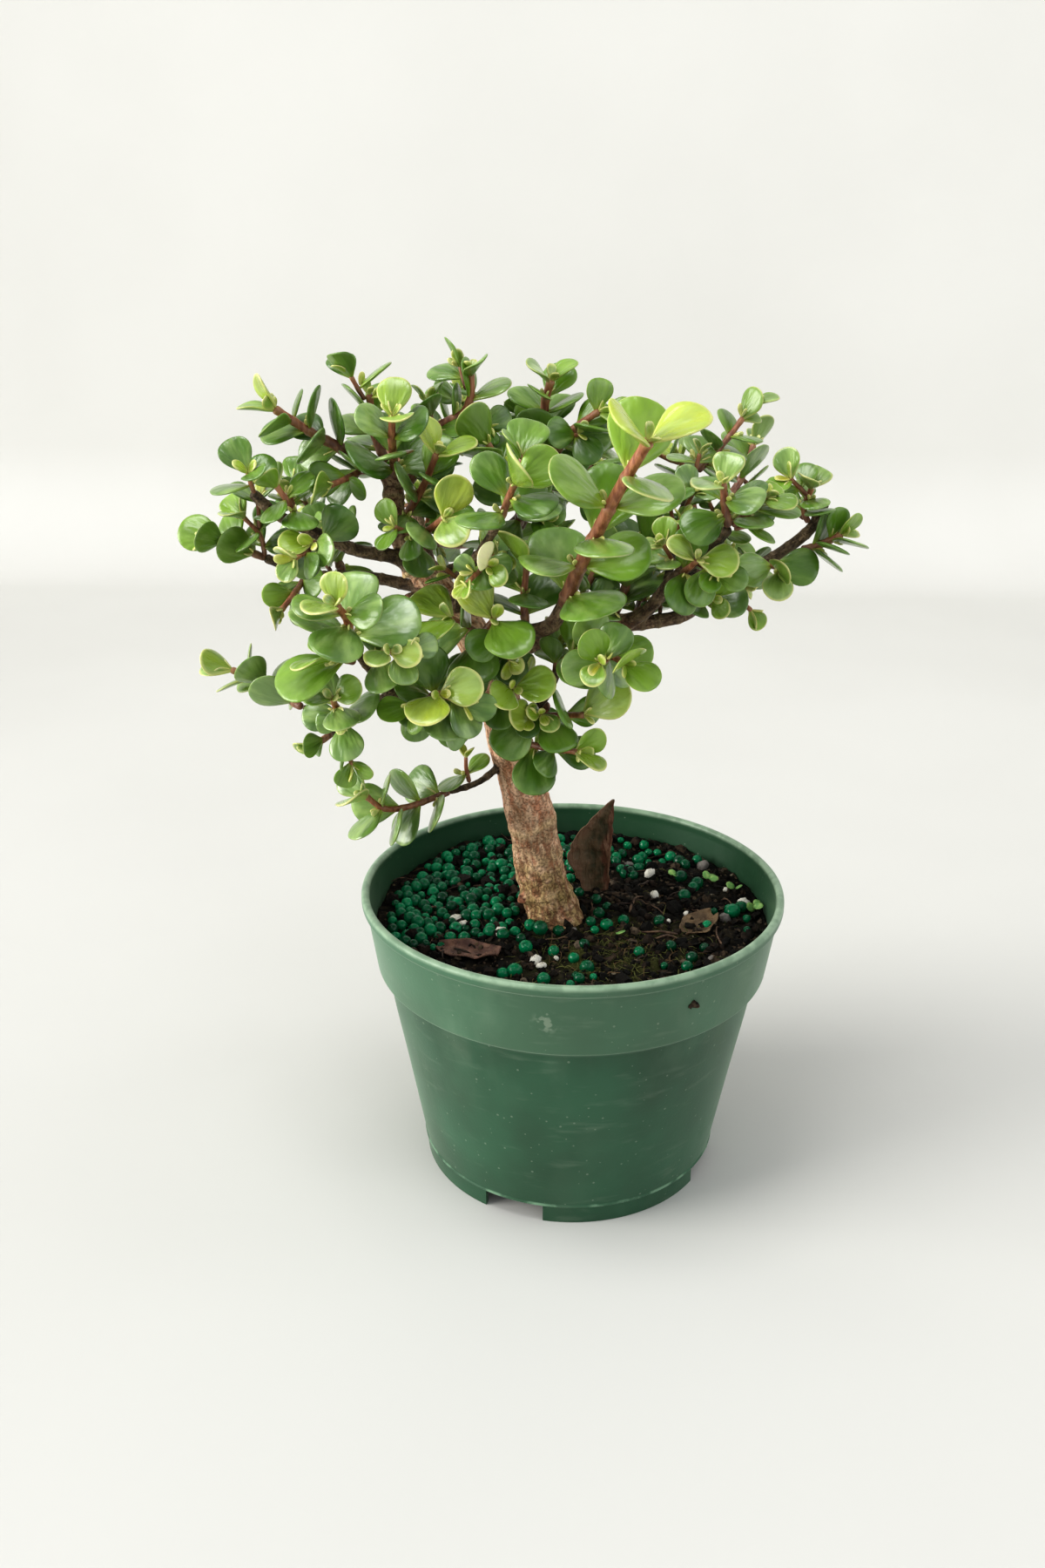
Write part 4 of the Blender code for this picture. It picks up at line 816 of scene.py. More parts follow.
# Each leafy stem: its name, the limb that carries it, its route, its radius at the base and the tip, the
# length of its blades at the base and the tip, its pairs of blades, the roll of the first pair, and a seed.
Stem = namedtuple("Stem", "name limb route radii blades pairs roll seed")
Blade = namedtuple("Blade", "root along across face length width thick share place", defaults=(0,))
STEMS = [Stem(*row) for row in (
    ("front_shoot", "front", ((-4, -28, 218), (1, -36, 233), (6, -44, 245), (12, -52, 259), (19, -60, 273)),
        (2.8, 1.8), (20.5, 18), 6, 67, 6),
    ("fore_top", "fore", ((-24, -34, 245), (-21, -38, 253), (-19, -42, 258)), (1.4, 1.1), (16, 15), 3, 22, 1),
    ("rosette", "left_fore_up", ((-70, -40, 207), (-70, -46, 217), (-72, -52, 223)), (1.7, 1.2), (19.5, 12.5),
        4, 0, 2),
    ("rosette_under", "left_fore_up", ((-68, -36, 200), (-71, -42, 203), (-74, -46, 205)), (1.6, 1.2), (19,
        16), 2, 45, 6),
    ("rosette_low", "left_fore", ((-74, -31, 179), (-76, -38, 186), (-76, -44, 191)), (1.4, 1.1), (15.5, 11),
        3, 0, 3),
    ("rosette_right", "left_fore_up", ((-64, -34, 199), (-60, -42, 205), (-57, -48, 208)), (1.3, 1), (12, 10),
        2, 67, 6),
    ("left_fore_mid", "left_fore", ((-49, -15, 182), (-46, -26, 187), (-43, -38, 191)), (1.4, 1.1), (17,
        15.5), 3, 22, 2),
    ("up_front", "up", ((-60, 2, 251), (-59, -12, 265), (-58, -18, 274)), (1.8, 1.2), (17, 11), 4, 0, 6),
    ("up_left", "up", ((-62, 4, 254), (-67, 6, 265), (-68, 4, 278)), (1.9, 1.2), (15, 11), 4, 67, 1),
    ("left_high", "left_up", ((-74, -2, 260), (-78, -4, 263), (-85, -6, 267), (-96, -10, 275)), (2.2, 1.4),
        (15.5, 12.5), 5, 67, 8),
    ("left_high_low", "left_up", ((-67, 0, 257), (-73, -8, 254), (-79, -14, 252)), (1.4, 1), (14, 11), 3, 45,
        9),
    ("left_mid_tip", "left_mid", ((-89, -14, 239), (-91, -18, 246), (-95, -20, 253)), (1.3, 1), (14.5, 10), 3,
        0, 4),
    ("left_mid_low", "left_mid", ((-81, -10, 234), (-82, -20, 235), (-83, -26, 236)), (1.3, 1), (15, 11), 2,
        67, 8),
    ("left_tip", "left_low", ((-105, 2, 225), (-111, 0, 228), (-117, -4, 232), (-122, -8, 233)), (1.5, 1),
        (14.5, 12.5), 4, 22, 1),
    ("left_tip_up", "left_low", ((-105, 3, 224), (-105, -2, 233), (-110, -4, 240)), (1, 0.8), (12.5, 10.5), 3,
        0, 8),
    ("left_low_fore", "left_low", ((-92, 8, 218), (-94, -4, 215), (-98, -10, 210)), (1.3, 1), (12.5, 9.5), 3,
        22, 3),
    ("left_end", "left_fore", ((-79, -32, 175), (-82, -33, 173), (-85, -34, 171)), (1.3, 1), (9, 7.5), 2, 45,
        10),
    ("left_lowest", "left_lowest", ((-89, -27, 182), (-93, -24, 183), (-103, -22, 189), (-113, -22, 193)),
        (1.6, 1.1), (14.5, 12), 5, 45, 8),
    ("foot_left", "left_foot", ((-43, -12, 147), (-56, -18, 144), (-64, -23, 145), (-70, -26, 151)), (1.3,
        1.1), (15, 14.5), 5, 0, 1),
    ("foot_sprout", "left_foot", ((-36, -9, 149), (-37, -11, 155), (-37, -12, 160)), (1, 0.7), (10, 9), 1, 67,
        12),
    ("up_right", "up", ((-60, 4, 244), (-55, 9, 252), (-48, 12, 266), (-39, 14, 271), (-36, 14, 277), (-36,
        14, 284)), (2, 1.2), (15.5, 11), 6, 22, 2),
    ("up_mid", "up", ((-58, -1, 238), (-50, -8, 251), (-45, -12, 262)), (1.6, 1.1), (17, 13), 4, 45, 5),
    ("top", "centre", ((-11, 26, 249), (-12, 27, 260), (-12, 26, 273), (-10, 24, 281)), (2.3, 1.4), (15.5,
        10.5), 6, 67, 6),
    ("top_right", "centre", ((-14, 24, 242), (-8, 20, 258), (-2, 18, 266), (6, 16, 272)), (1.9, 1.2), (17,
        13), 4, 22, 8),
    ("right_high_tip", "right_high", ((40, 30, 250), (46, 32, 256), (52, 34, 263), (59, 36, 273)), (1.4, 1),
        (13, 9.5), 5, 45, 4),
    ("right_fork_up", "right_fore", ((48, -10, 239), (46, -13, 247), (45, -15, 254)), (1.7, 1.1), (15.5,
        12.5), 3, 67, 4),
    ("right_fork_out", "right_fore", ((46, -8, 237), (54, -10, 244), (59, -10, 249)), (1.4, 1.1), (15, 11), 3,
        22, 2),
    ("right_low_fore", "right_fore", ((32, 0, 220), (36, -10, 226), (38, -16, 230)), (1.4, 1), (15, 12.5), 2,
        67, 4),
    ("right_tip", "right", ((70, 20, 226), (79, 18, 227), (89, 16, 232)), (1.8, 1.2), (15, 13), 4, 67, 8),
    ("right_tip_up", "right", ((79, 20, 234), (76, 18, 240), (78, 17, 248)), (1.3, 1), (12, 10), 3, 0, 4),
    ("right_tip_low", "right", ((65, 20, 221), (67, 10, 222), (67, 4, 222)), (1.3, 1), (14.5, 12.5), 2, 0,
        10),
    ("right_under", "right", ((41, 17, 206), (44, 8, 211), (45, 2, 213)), (1.3, 1), (15.5, 12.5), 2, 0, 9),
    ("right_under_twig", "right", ((46, 18, 214), (53, 17, 211), (60, 14, 206)), (1.1, 0.8), (9, 7.5), 2, 22,
        5),
    ("right_twig_tip", "right_twig", ((-4, -19, 197), (2, -24, 202), (11, -34, 203), (15, -42, 203)), (1.4,
        1.1), (16, 14), 4, 45, 7),
    ("right_twig_low", "right_twig", ((-17, -8, 173), (-6, -16, 177), (3, -24, 180)), (1.6, 1.1), (15, 15), 3,
        67, 9),
    ("foot_right", "trunk", ((-20, -3, 163), (-9, -13, 164), (1, -21, 166)), (1.4, 1), (15.5, 11), 3, 67, 1),
    ("trunk_front", "trunk", ((-34, -8, 198), (-29, -22, 208), (-26, -32, 214)), (1.7, 1.1), (20.5, 18), 2,
        22, 12),
    ("trunk_fore_low", "trunk", ((-28, -9, 182), (-23, -20, 186), (-20, -28, 190)), (1.4, 1.1), (15.5, 14), 2,
        67, 3),
    ("fore_low", "fore", ((-32, -23, 231), (-29, -32, 231), (-27, -38, 232)), (1.1, 0.8), (12, 10), 2, 45, 9),
    ("mid_fore", "up", ((-55, -1, 230), (-48, -14, 238), (-42, -24, 244)), (1.6, 1.1), (16, 14), 3, 67, 3),
    ("centre_mid", "centre", ((-20, 20, 233), (-21, 8, 248), (-30, 4, 263)), (1.8, 1.1), (17.5, 14), 5, 45,
        3),
    ("centre_right", "front", ((-16, -18, 205), (-17, -22, 217), (-16, -24, 229)), (1.7, 1.1), (16, 14), 3,
        45, 2),
    ("right_mid", "right", ((11, 12, 199), (18, 16, 217), (25, 18, 235)), (1.9, 1.2), (18, 14.5), 5, 45, 9),
    ("right_mid_low", "right", ((-7, 8, 198), (1, 10, 210), (8, 14, 224)), (1.8, 1.1), (15.5, 13), 4, 45, 7),
    ("back_left", "back", ((-62, 50, 246), (-70, 62, 252), (-80, 70, 258)), (2.2, 1.2), (16, 11), 5, 0, 10),
    ("back_left_low", "left_low", ((-80, 9, 218), (-88, 30, 226), (-98, 46, 234)), (1.8, 1.1), (15.5, 11), 5,
        67, 1),
    ("back_top", "back", ((-57, 30, 233), (-50, 42, 252), (-42, 48, 270)), (1.9, 1.2), (15.5, 11), 5, 22, 7),
    ("back_centre", "back_right", ((2, 58, 246), (8, 68, 252), (12, 78, 258)), (1.8, 1.1), (16, 11), 4, 0, 5),
    ("back_centre_up", "back_right", ((-20, 34, 234), (-20, 44, 252), (-16, 50, 268)), (1.8, 1.1), (15.5, 11),
        5, 22, 3),
    ("back_down", "back", ((-53, 20, 227), (-40, 40, 222), (-26, 58, 220)), (1.8, 1.1), (16, 11), 4, 67, 12),
    ("back_far_right", "back_far", ((54, 56, 236), (60, 64, 244), (64, 70, 254)), (1.7, 1.1), (15, 11), 4, 45,
        9),
    ("back_far_up", "back_far", ((46, 42, 223), (40, 50, 238), (36, 54, 252)), (1.7, 1.1), (15.5, 11), 4, 22,
        12),
    ("back_right_low", "right", ((20, 12, 201), (24, 32, 210), (28, 50, 218)), (1.8, 1.1), (16, 12), 4, 22,
        4),
)]
LIGHT = np.array((-0.15, -0.62, 0.77))
LIGHT_PULL = 0.9
LEVELLING = 0.4
OPEN_AT_BASE = 64
OPEN_AT_TIP = 40
BLADE_WIDTH = 0.92
BLADE_THICK = 0.13
WIDEST_AT = 0.6
CLEAR = 0.5
JOIN_GAP = 0.3
FIRST_PAIR = 2.6
TIP_BARE = 1.2
# What a blade tries in turn until it is clear: more opening, more turn, and a share of its length.
TRIES = (
    (0, 0, 1.0), (14, 0, 1.0), (-14, 0, 1.0), (0, 20, 1.0), (0, -20, 1.0), (26, 0, 0.95), (-26, 0, 0.95),
    (14, 32, 0.9), (14, -32, 0.9), (-14, 32, 0.9), (-14, -32, 0.9), (0, 45, 0.8), (0, -45, 0.8),
    (20, 0, 0.7), (-20, 0, 0.7), (0, 0, 0.6),
)


def at_length(line, length):
    """The point at a length along a line, and the direction there."""
    steps = np.diff(line, axis=0)
    sizes = np.linalg.norm(steps, axis=1)
    ends = np.cumsum(sizes)
    i = min(np.searchsorted(ends, length), len(steps) - 1)
    return line[i] + steps[i] * (length - ends[i] + sizes[i]) / sizes[i], steps[i] / sizes[i]


def bark_gap(points, tubes):
    """The smallest gap between the points and the bark of the tubes; it is negative inside one."""
    start = np.vstack([line[:-1] for line, _ in tubes])
    run = np.vstack([np.diff(line, axis=0) for line, _ in tubes])
    thick = np.concatenate([radii[:-1] for _, radii in tubes])
    swell = np.concatenate([np.diff(radii) for _, radii in tubes])
    away = points[:, None] - start
    share = np.clip((away * run).sum(-1) / (run**2).sum(-1), 0, 1)
    return (np.linalg.norm(away - share[..., None] * run, axis=-1) - thick - share * swell).min()


def start_length(stem, limbs):
    """How far along its line the stem's tube starts: just past its limb's end, or just out of the bark."""
    line, radii = tube_of(stem)
    end = limbs[stem.limb][0]
    if np.allclose(end[-1], line[0]):
        bend = np.arccos(unit(line[1] - line[0]) @ unit(end[-1] - end[-2]))
        return JOIN_GAP / np.cos(bend) + radii[0] * np.tan(bend)
    turns = np.linspace(0, 2 * np.pi, 12, endpoint=False)[:, None]
    for length in np.arange(1.0, 14.0, 0.1):
        middle, forward = at_length(line, length)
        side = unit(np.cross(forward, (0.3, 0.5, 0.8)))
        ring = middle + radii[0] * (np.cos(turns) * side + np.sin(turns) * np.cross(forward, side))
        if bark_gap(ring, [limbs[stem.limb]]) > JOIN_GAP:
            break
    return length


def half_width(share, width):
    """Half the blade's width at a share of its length: it swells to its widest place, and has a round tip."""
    tip = np.sqrt(np.clip(1 - ((share - WIDEST_AT) / (1 - WIDEST_AT)) ** 2, 0, 1))
    wedge = np.sin(np.pi / 2 * np.clip(share / WIDEST_AT, 0, 1)) ** 1.15
    return width / 2 * np.where(share > WIDEST_AT, tip, wedge)


ALONG, ACROSS = np.meshgrid((0.22, 0.4, 0.58, 0.76, 0.9, 1.0), (-1, -0.5, 0, 0.5, 1), indexing="ij")


def spots(blade):
    """Points spread over the blade's middle surface."""
    side = ACROSS * half_width(ALONG, blade.width)
    grid = ALONG[..., None] * blade.length * blade.along + side[..., None] * blade.across
    return blade.root + grid.reshape(-1, 3)


def meets(blade, other, gap):
    """Whether either blade has a spot inside the other's slab, widened by the gap all round."""
    for guest, host in ((blade, other), (other, blade)):
        local = (spots(guest) - host.root) @ np.column_stack([host.along, host.across, host.face])
        x, y, z = local.T
        within = (x > 0.3 * host.length) & (x < host.length + gap)
        within &= np.abs(y) < half_width(x / host.length, host.width) + gap
        if (within & (np.abs(z) < gap + (guest.thick + host.thick) / 2)).any():
            return True
    return False


def crowded(blade, others, gap):
    """Whether the blade meets any of the others; only those within its reach are tried."""
    if not others:
        return False
    roots = np.array([other.root for other in others])
    reach = np.array([other.length for other in others]) + blade.length + gap
    near = np.flatnonzero(np.linalg.norm(roots - blade.root, axis=1) <= reach)
    return any(meets(blade, others[number], gap) for number in near)


def side_at(forward, turn):
    """The direction across forward, turned round it from the level one."""
    level = unit(np.cross(forward, (0, 1, 0) if abs(forward[2]) > 0.95 else (0, 0, 1)))
    return np.cos(turn) * level + np.sin(turn) * np.cross(forward, level)


def blade_at(stem, line, place, share, turn, opening, twist, length):
    """A blade that leaves the stem's line at a place, turned round the line and opened away from it."""
    root, forward = at_length(line, place)
    side = side_at(forward, turn)
    along = np.cos(opening) * forward + np.sin(opening) * side
    face = np.sin(opening) * forward - np.cos(opening) * side + LIGHT_PULL * LIGHT
    along = unit(along - LEVELLING * (along @ LIGHT) * LIGHT)
    face = face + twist * np.cross(along, face)
    face = unit(face - (face @ along) * along)
    thick = np.clip(BLADE_THICK * length, 1.3, 2.2)
    root = root + 0.4 * stem.radii[-1] * along
    return Blade(root, along, np.cross(face, along), face, length, BLADE_WIDTH * length, thick, share, place)


def grow(stem, limbs, wood, grown, clear=CLEAR):
    """The stem's blades: opposite pairs a quarter turn apart, moved or shrunk where they would touch."""
    rng = np.random.default_rng(stem.seed)
    line, _ = tube_of(stem)
    first = start_length(stem, limbs) + FIRST_PAIR
    room = lengths_of(line)[-1] - TIP_BARE - first
    mine = []
    for pair in range(stem.pairs):
        share = pair / max(stem.pairs - 1, 1)
        place = first + room * share
        turn = np.radians(stem.roll + 90 * pair + 9 * rng.normal())
        for across in (0, np.pi):
            wander = rng.normal(size=4)
            length = np.interp(share, (0, 1), stem.blades) * (1 + 0.09 * wander[0])
            opening = np.interp(share, (0, 1), (OPEN_AT_BASE, OPEN_AT_TIP)) + 8 * wander[1]
            for more, round_by, scale in TRIES:
                blade = blade_at(
                    stem, line, place, share, turn + across + np.radians(8 * wander[2] + round_by),
                    np.radians(opening + more), 0.25 * wander[3], length * scale,
                )
                touches = crowded(blade, grown, clear) or crowded(blade, mine, 0.1)
                if not touches and bark_gap(spots(blade), wood) > clear + blade.thick / 2:
                    mine.append(blade)
                    break
    return mine


LEAF_ROWS = (0.03, 0.14, 0.30, 0.48, 0.66, 0.83, 0.95)
LEAF_TURNS = np.radians((0, 38, 90, 142, 180, 218, 270, 322))
BUD_ROWS = (0.05, 0.30, 0.62, 0.90)
BUD_TURNS = np.radians((0, 60, 120, 180, 240, 300))
RIM_SPOTS = 40
LEAF_ARCH = 0.06
LEAF_PLUMP = 1.1
STALK = 0.8
BUD = 5.6
OWN_BRIGHT = {"front_shoot_leaves": 0.93, "foot_left_leaves": 0.9}
# The leaves of these pieces get a high chance, which lays the painted grey-green reflection and the painted
# sheen strongly on them.
MILKY = (
    "rosette_leaves", "rosette_low_leaves", "rosette_right_leaves", "left_lowest_leaves", "foot_left_leaves",
)
PALE_LEAF_AT = (-28.1, -41.2, 235.5)
TWIG_SIDES = 6
TWIG_STEP = 1.1
TWIG_STOUT = 1.05
SPUR_CLEAR = 0.15
SPUR_STEP = 9
SPUR_TRIES = 2
SPUR_SHARE = 0.5
SPUR_GAP = 1.1
NEARBY = 32
BARE_WOOD = (
    "trunk", "cut_stub", "low_stub", "left_foot", "foot_left.stem", "foot_right.stem", "front_shoot.stem",
    "left_lowest", "left_lowest.stem", "right_under.stem", "right_under_twig.stem", "left_end.stem",
    "left_tip.stem", "right_tip.stem", "right_high_tip.stem", "foot_sprout.stem", "rosette.stem",
)
YOUTH = {
    "front_shoot": 0.62, "rosette": 0.6, "left_lowest": 0.65, "rosette_under": 0.5, "rosette_low": 0.5,
    "rosette_right": 0.45, "fore_top": 0.45, "top": 0.45, "right_twig_tip": 0.55, "trunk_front": 0.3,
    "back_top": 0.45,
}


def leaf_shells(blades, rng, rows, turns):
    """Leaf shells, and what the finish reads on them. At the share u of the length and the turn a round the
    section, a point is (L u, h(u) cos a, t(u) sin a), with h the rule's half width, never less than the
    stalk's, and t half the thickness. Then the sides fold up along the middle near the stalk, the tip bends
    down as u^2 and may be notched, and the blade is twisted and swayed a little."""
    u = np.append(np.repeat(rows, len(turns)), (0, 1))
    cosine, sine = (np.append(np.tile(wave(turns), len(rows)), (0, 0)) for wave in (np.cos, np.sin))
    sizes = np.array([(blade.length, blade.width, blade.thick) for blade in blades])
    length, width, thick = sizes.T[:, :, None]
    length, width = LEAF_PLUMP * length, LEAF_PLUMP * width
    fold, cup, twist, arch, notch, sway = rng.uniform(-1, 1, (6, len(blades), 1))
    young = np.array([blade.share for blade in blades])[:, None] > 0.95
    half = np.maximum(half_width(u, width), STALK * np.clip(length / 10, 0.35, 1) * (u < 0.3))
    body = np.clip(3.2 * u + 0.35, 0, 1) * np.sqrt(1.05 - u**6)
    y = half * cosine
    fold = np.clip(0.14 + 0.3 * fold, 0, 0.45) * np.clip(1 - u / 0.85, 0, 1)
    z = 0.6 * thick * body * sine + fold * np.abs(y) + (0.1 * cup + 0.55 * young) * y**2 / width
    z = z - (LEAF_ARCH + 0.035 * arch) * length * u**2 + 0.16 * twist * y * u
    dent = np.clip(notch - 0.35, 0, 1) * 0.14 * length * (u > 0.9) * (np.abs(y) < 0.25 * width)
    x = length * u - dent
    rim = np.linspace(0, 1, RIM_SPOTS)
    from_rim = np.abs(y)[..., None] - half_width(rim, width)[:, None]
    inset = np.hypot(x[..., None] - rim * length[..., None], from_rim).min(axis=-1)
    y = y + 0.03 * sway * length * u**2
    along, across, face, root = (
        np.array([getattr(blade, name) for blade in blades])[:, None]
        for name in ("along", "across", "face", "root")
    )
    points = root + x[..., None] * along + y[..., None] * across + z[..., None] * face
    rings = points[:, :-2].reshape(len(blades), len(rows), len(turns), 3)
    fan = 8 * np.arctan2(y, x + 2.5)
    own_place = np.stack([0.25 * x, fan, 20 * rng.uniform(0, 50, (len(blades), 1)) + 0 * x], -1)
    return shells(rings, points[:, -2:]), {
        "share": (u + 0 * x).ravel(), "inset": inset.ravel(), "upper": (sine + 0 * x).ravel(),
        "grain": own_place.reshape(-1, 3) * MM,
    }


leaf_skin, shader, grain, age, chance, share, inset, upper, bleached = finish_of(
    "fleshy_leaf", "grain age chance share inset upper bleached", 0.36, Coat_Weight=0.3, Coat_Roughness=0.2,
    Subsurface_Weight=0.1, Subsurface_Radius=(0.4, 0.8, 0.1), Subsurface_Scale=0.0012,
)
painted_sheen_patches = mask_of(grain, 330, 0.4, 0.7, 5)
limes = mask_of(grain, 75, 0.44, 0.66, 2)
margin_width = sums("ADD", ramped(age, 0.55, 0.93, 0.15, 0.8), times(chance, 0.25))
margin = add("MapRange", {"Value": inset, 1: margin_width, 2: 0.1}).outputs[0]
cream = colour_mix(ramped(age, 0.3, 0.9), (0.13, 0.24, 0.03), (0.78, 0.74, 0.30))
by_age = tones_of(
    age, (0.0, 0.022, 0.066, 0.007), (0.3, 0.062, 0.150, 0.013), (0.55, 0.125, 0.255, 0.020),
    (0.78, 0.23, 0.39, 0.030), (0.93, 0.47, 0.56, 0.060), (1.0, 0.66, 0.47, 0.040),
)
colour = painted(
    by_age,
    # A grey-green coat on leaves with a high chance is a painted reflection of the bright surroundings in
    # their gloss.
    ((0.18, 0.30, 0.085), ramped(chance, 0.6, 1, 0, 0.66)),
    # A whitish green in soft patches is a painted sheen, strongest on leaves with a high chance, and those
    # patches are a little rougher.
    ((0.42, 0.58, 0.18), times(painted_sheen_patches, ramped(chance, 0.2, 1, 0.2, 0.68))),
    ((0.24, 0.40, 0.035), times(limes, ramped(age, 0.1, 0.6, 0.08, 0.4))),
    ((0.020, 0.060, 0.008), mask_of(grain, 260, 0.4, 0.7), 0.34),
    ((0.36, 0.46, 0.05), ramped(share, 0.3, 0.0), 0.7),
    ((0.13, 0.22, 0.045), ramped(upper, 0.1, -0.4), 0.35),
    # The pale edge is partly the leaf's own and partly painted light: on young leaves it is the cream
    # variegation, and the faint paler green edge of old leaves is a painted highlight on the thick rounded
    # rim.
    (cream, times(margin, ramped(age, 0.2, 0.85, 0.15, 0.85))),
    ((1.0, 0.94, 0.56), bleached),
    ((0.16, 0.055, 0.014), mask_of(grain, 130, 0.76, 0.79, 2), 0.85),
)
dull = sums("ADD", ramped(age, 0, 1, 0.3, 0.27), times(painted_sheen_patches, 0.14))
finished(shader, colour, noise_of(grain, 260.0, 2.5), 0.0022, 0.9, dull)
shader.id_data.links.new(ramped(chance, 0.4, 1, 0.3, 0.8), shader.inputs["Coat Weight"])

young_bark, shader, grain, youth, ringed = finish_of("young_stem", "grain age ringed", 0.45, Coat_Weight=0.15)
streaks = mask_of(stretched(grain, (1, 1, 0.2)), 700, 0.35, 0.7, 4)
old = colour_mix(streaks, (0.065, 0.034, 0.022), (0.19, 0.095, 0.056))
new = colour_mix(streaks, (0.25, 0.080, 0.040), (0.46, 0.19, 0.095))
colour = painted(colour_mix(ramped(youth, 0.2, 0.9), old, new), ((0.36, 0.22, 0.10), ringed, 0.4))
finished(shader, colour, streaks, 0.0002, 0.8)


def folded_leaf(root, way, up, size, wide, thick):
    """A bud: a small blade from a root along a way, which faces up as far as it can."""
    face = unit(up - (up @ way) * way)
    return Blade(root, way, np.cross(face, way), face, size, wide * size, thick, 1.0)


def tip_buds(line, face, rng):
    """The two folded leaves at a stem's tip, leaning apart from the stem's own way."""
    way = unit(line[-1] - line[-2])
    side = unit(np.cross(way, face))
    leans = [unit(way + 0.62 * sign * side) for sign in (-1, 1)]
    return [
        folded_leaf(line[-1] - 0.3 * way, lean, way, BUD * rng.uniform(0.7, 1.25), 0.8, 1.0)
        for lean in leans
    ]


def axil_buds(blade, line, lengths, rng):
    """Two small folded leaves in the corner between a blade and the stem."""
    spot = min(np.searchsorted(lengths, blade.place), len(line) - 2)
    way = unit(line[spot + 1] - line[spot])
    leaning = unit(0.9 * way + 0.8 * unit(blade.along - (blade.along @ way) * way))
    start = blade.root + 1.1 * leaning
    return [
        folded_leaf(start, unit(leaning + 0.45 * sign * blade.across), sign * blade.across,
                    0.75 * BUD * rng.uniform(0.6, 1.1), 0.6, 0.8)
        for sign in (-1, 1)
    ]


def leafy_piece(name, shoots, youth):
    """One piece from stems and their blades. Leaves get an age, older to the stem's base, and a chance. The
    first stem is the main one, and the others are its side stems, whose tips are duller."""
    leaf_parts, twig_parts = [], []
    for stem, blades in shoots:
        rng = np.random.default_rng(1000 + stem.seed)
        line, radii, lengths = even(*tube_of(stem, 8), TWIG_STEP)
        kept = lengths > start_length(stem, carriers) - 1.2
        line, radii, lengths = line[kept], radii[kept], lengths[kept]
        buds = tip_buds(line, blades[-1].face if blades else (0, 0, 1), rng)
        for blade in blades:
            if rng.uniform() < youth:
                buds += axil_buds(blade, line, lengths, rng)
        bright = rng.uniform(0.7, 0.92) if stem is shoots[0][0] else rng.uniform(0.3, 0.75)
        bright = OWN_BRIGHT.get(name, bright)
        age = np.array([youth + (bright - youth) * blade.share**3 for blade in blades])
        age = np.clip(age + 0.09 * rng.normal(size=len(blades)), 0.02, 0.93)
        for leaves, ages, rows, turns in (
            (blades, age, LEAF_ROWS, LEAF_TURNS),
            (buds, rng.uniform(0.84, 0.97, len(buds)), BUD_ROWS, BUD_TURNS),
        ):
            if leaves:
                shell, marks = leaf_shells(leaves, rng, rows, turns)
                each = len(shell[0]) // len(leaves)
                marks["age"] = np.repeat(ages, each)
                marks["chance"] = np.repeat(rng.uniform(0.75 if name in MILKY else 0, 1, len(leaves)), each)
                marks["bleached"] = np.repeat([float(blade is pale_blade) for blade in leaves], each)
                leaf_parts.append((shell, marks))
        joints = np.array([blade.place for blade in blades] + [lengths[-1]])
        rings = np.exp(-(((lengths[:, None] - joints) / 0.7) ** 2)).max(axis=1)
        shell = shells(*tube(line, TWIG_STOUT * radii * (1 + 0.25 * rings), TWIG_SIDES))
        ring_of = np.append(np.repeat(np.arange(len(line)), TWIG_SIDES), (0, len(line) - 1))
        reach = np.interp(lengths, (lengths[0], lengths[-1]), (0, 1))[ring_of]
        age = 0.25 + 0.4 * reach + 0.4 * youth
        marks = {"age": age, "ringed": rings[ring_of], "grain": (shell[0] - line[0]) * MM}
        twig_parts.append((shell, marks))
    parts = leaf_parts + twig_parts
    points, faces = gathered([shell for shell, _ in parts])
    marks = {
        label: np.concatenate([own.get(label, np.zeros(len(shell[0]))) for shell, own in parts])
        for label in ("grain", "age", "chance", "share", "inset", "upper", "ringed", "bleached")
    }
    made = piece(name, points, faces, leaf_skin, "leaf", **marks)
    made.data.materials.append(young_bark)
    leaf_faces = sum(len(own) for (_, own), _ in leaf_parts)
    made.data.polygons.foreach_set("material_index", [int(at >= leaf_faces) for at in range(len(faces))])
    modify(made, "SUBSURF", levels=1, render_levels=1)
    return made


def spur(parent, place, length, size, pairs, rng):
    """A short side stem that leaves its parent's line at a place, leans away and bends to the light."""
    line, radii = carriers[parent]
    root, forward = at_length(line, place)
    turn = rng.uniform(0, 2 * np.pi)
    lean = np.radians(rng.uniform(45, 80))
    way = unit(np.cos(lean) * forward + np.sin(lean) * side_at(forward, turn) + 0.3 * LIGHT)
    sway = rng.normal(0, 0.08, 3) + 0.12 * LIGHT
    reach = length + np.interp(place, np.linspace(0, lengths_of(line)[-1], len(radii)), radii)
    t = np.array((0, 0.5, 1))[:, None]
    return Stem(f"{parent}_spur", parent, root + t * reach * way + t**2 * length * sway, (0.95, 0.75),
                (size, 0.85 * size), pairs, rng.uniform(0, 180), int(rng.integers(1, 9999)))


limbs = {limb.name: tube_of(limb, 1) for limb in LIMBS}
lines = {stem.name: tube_of(stem) for stem in STEMS}
grown, own_blades = [], {}
for stem in STEMS:
    tubes = list(limbs.values()) + [lines[other.name] for other in STEMS if other is not stem]
    own_blades[stem.name] = grow(stem, limbs, tubes, grown)
    grown += own_blades[stem.name]

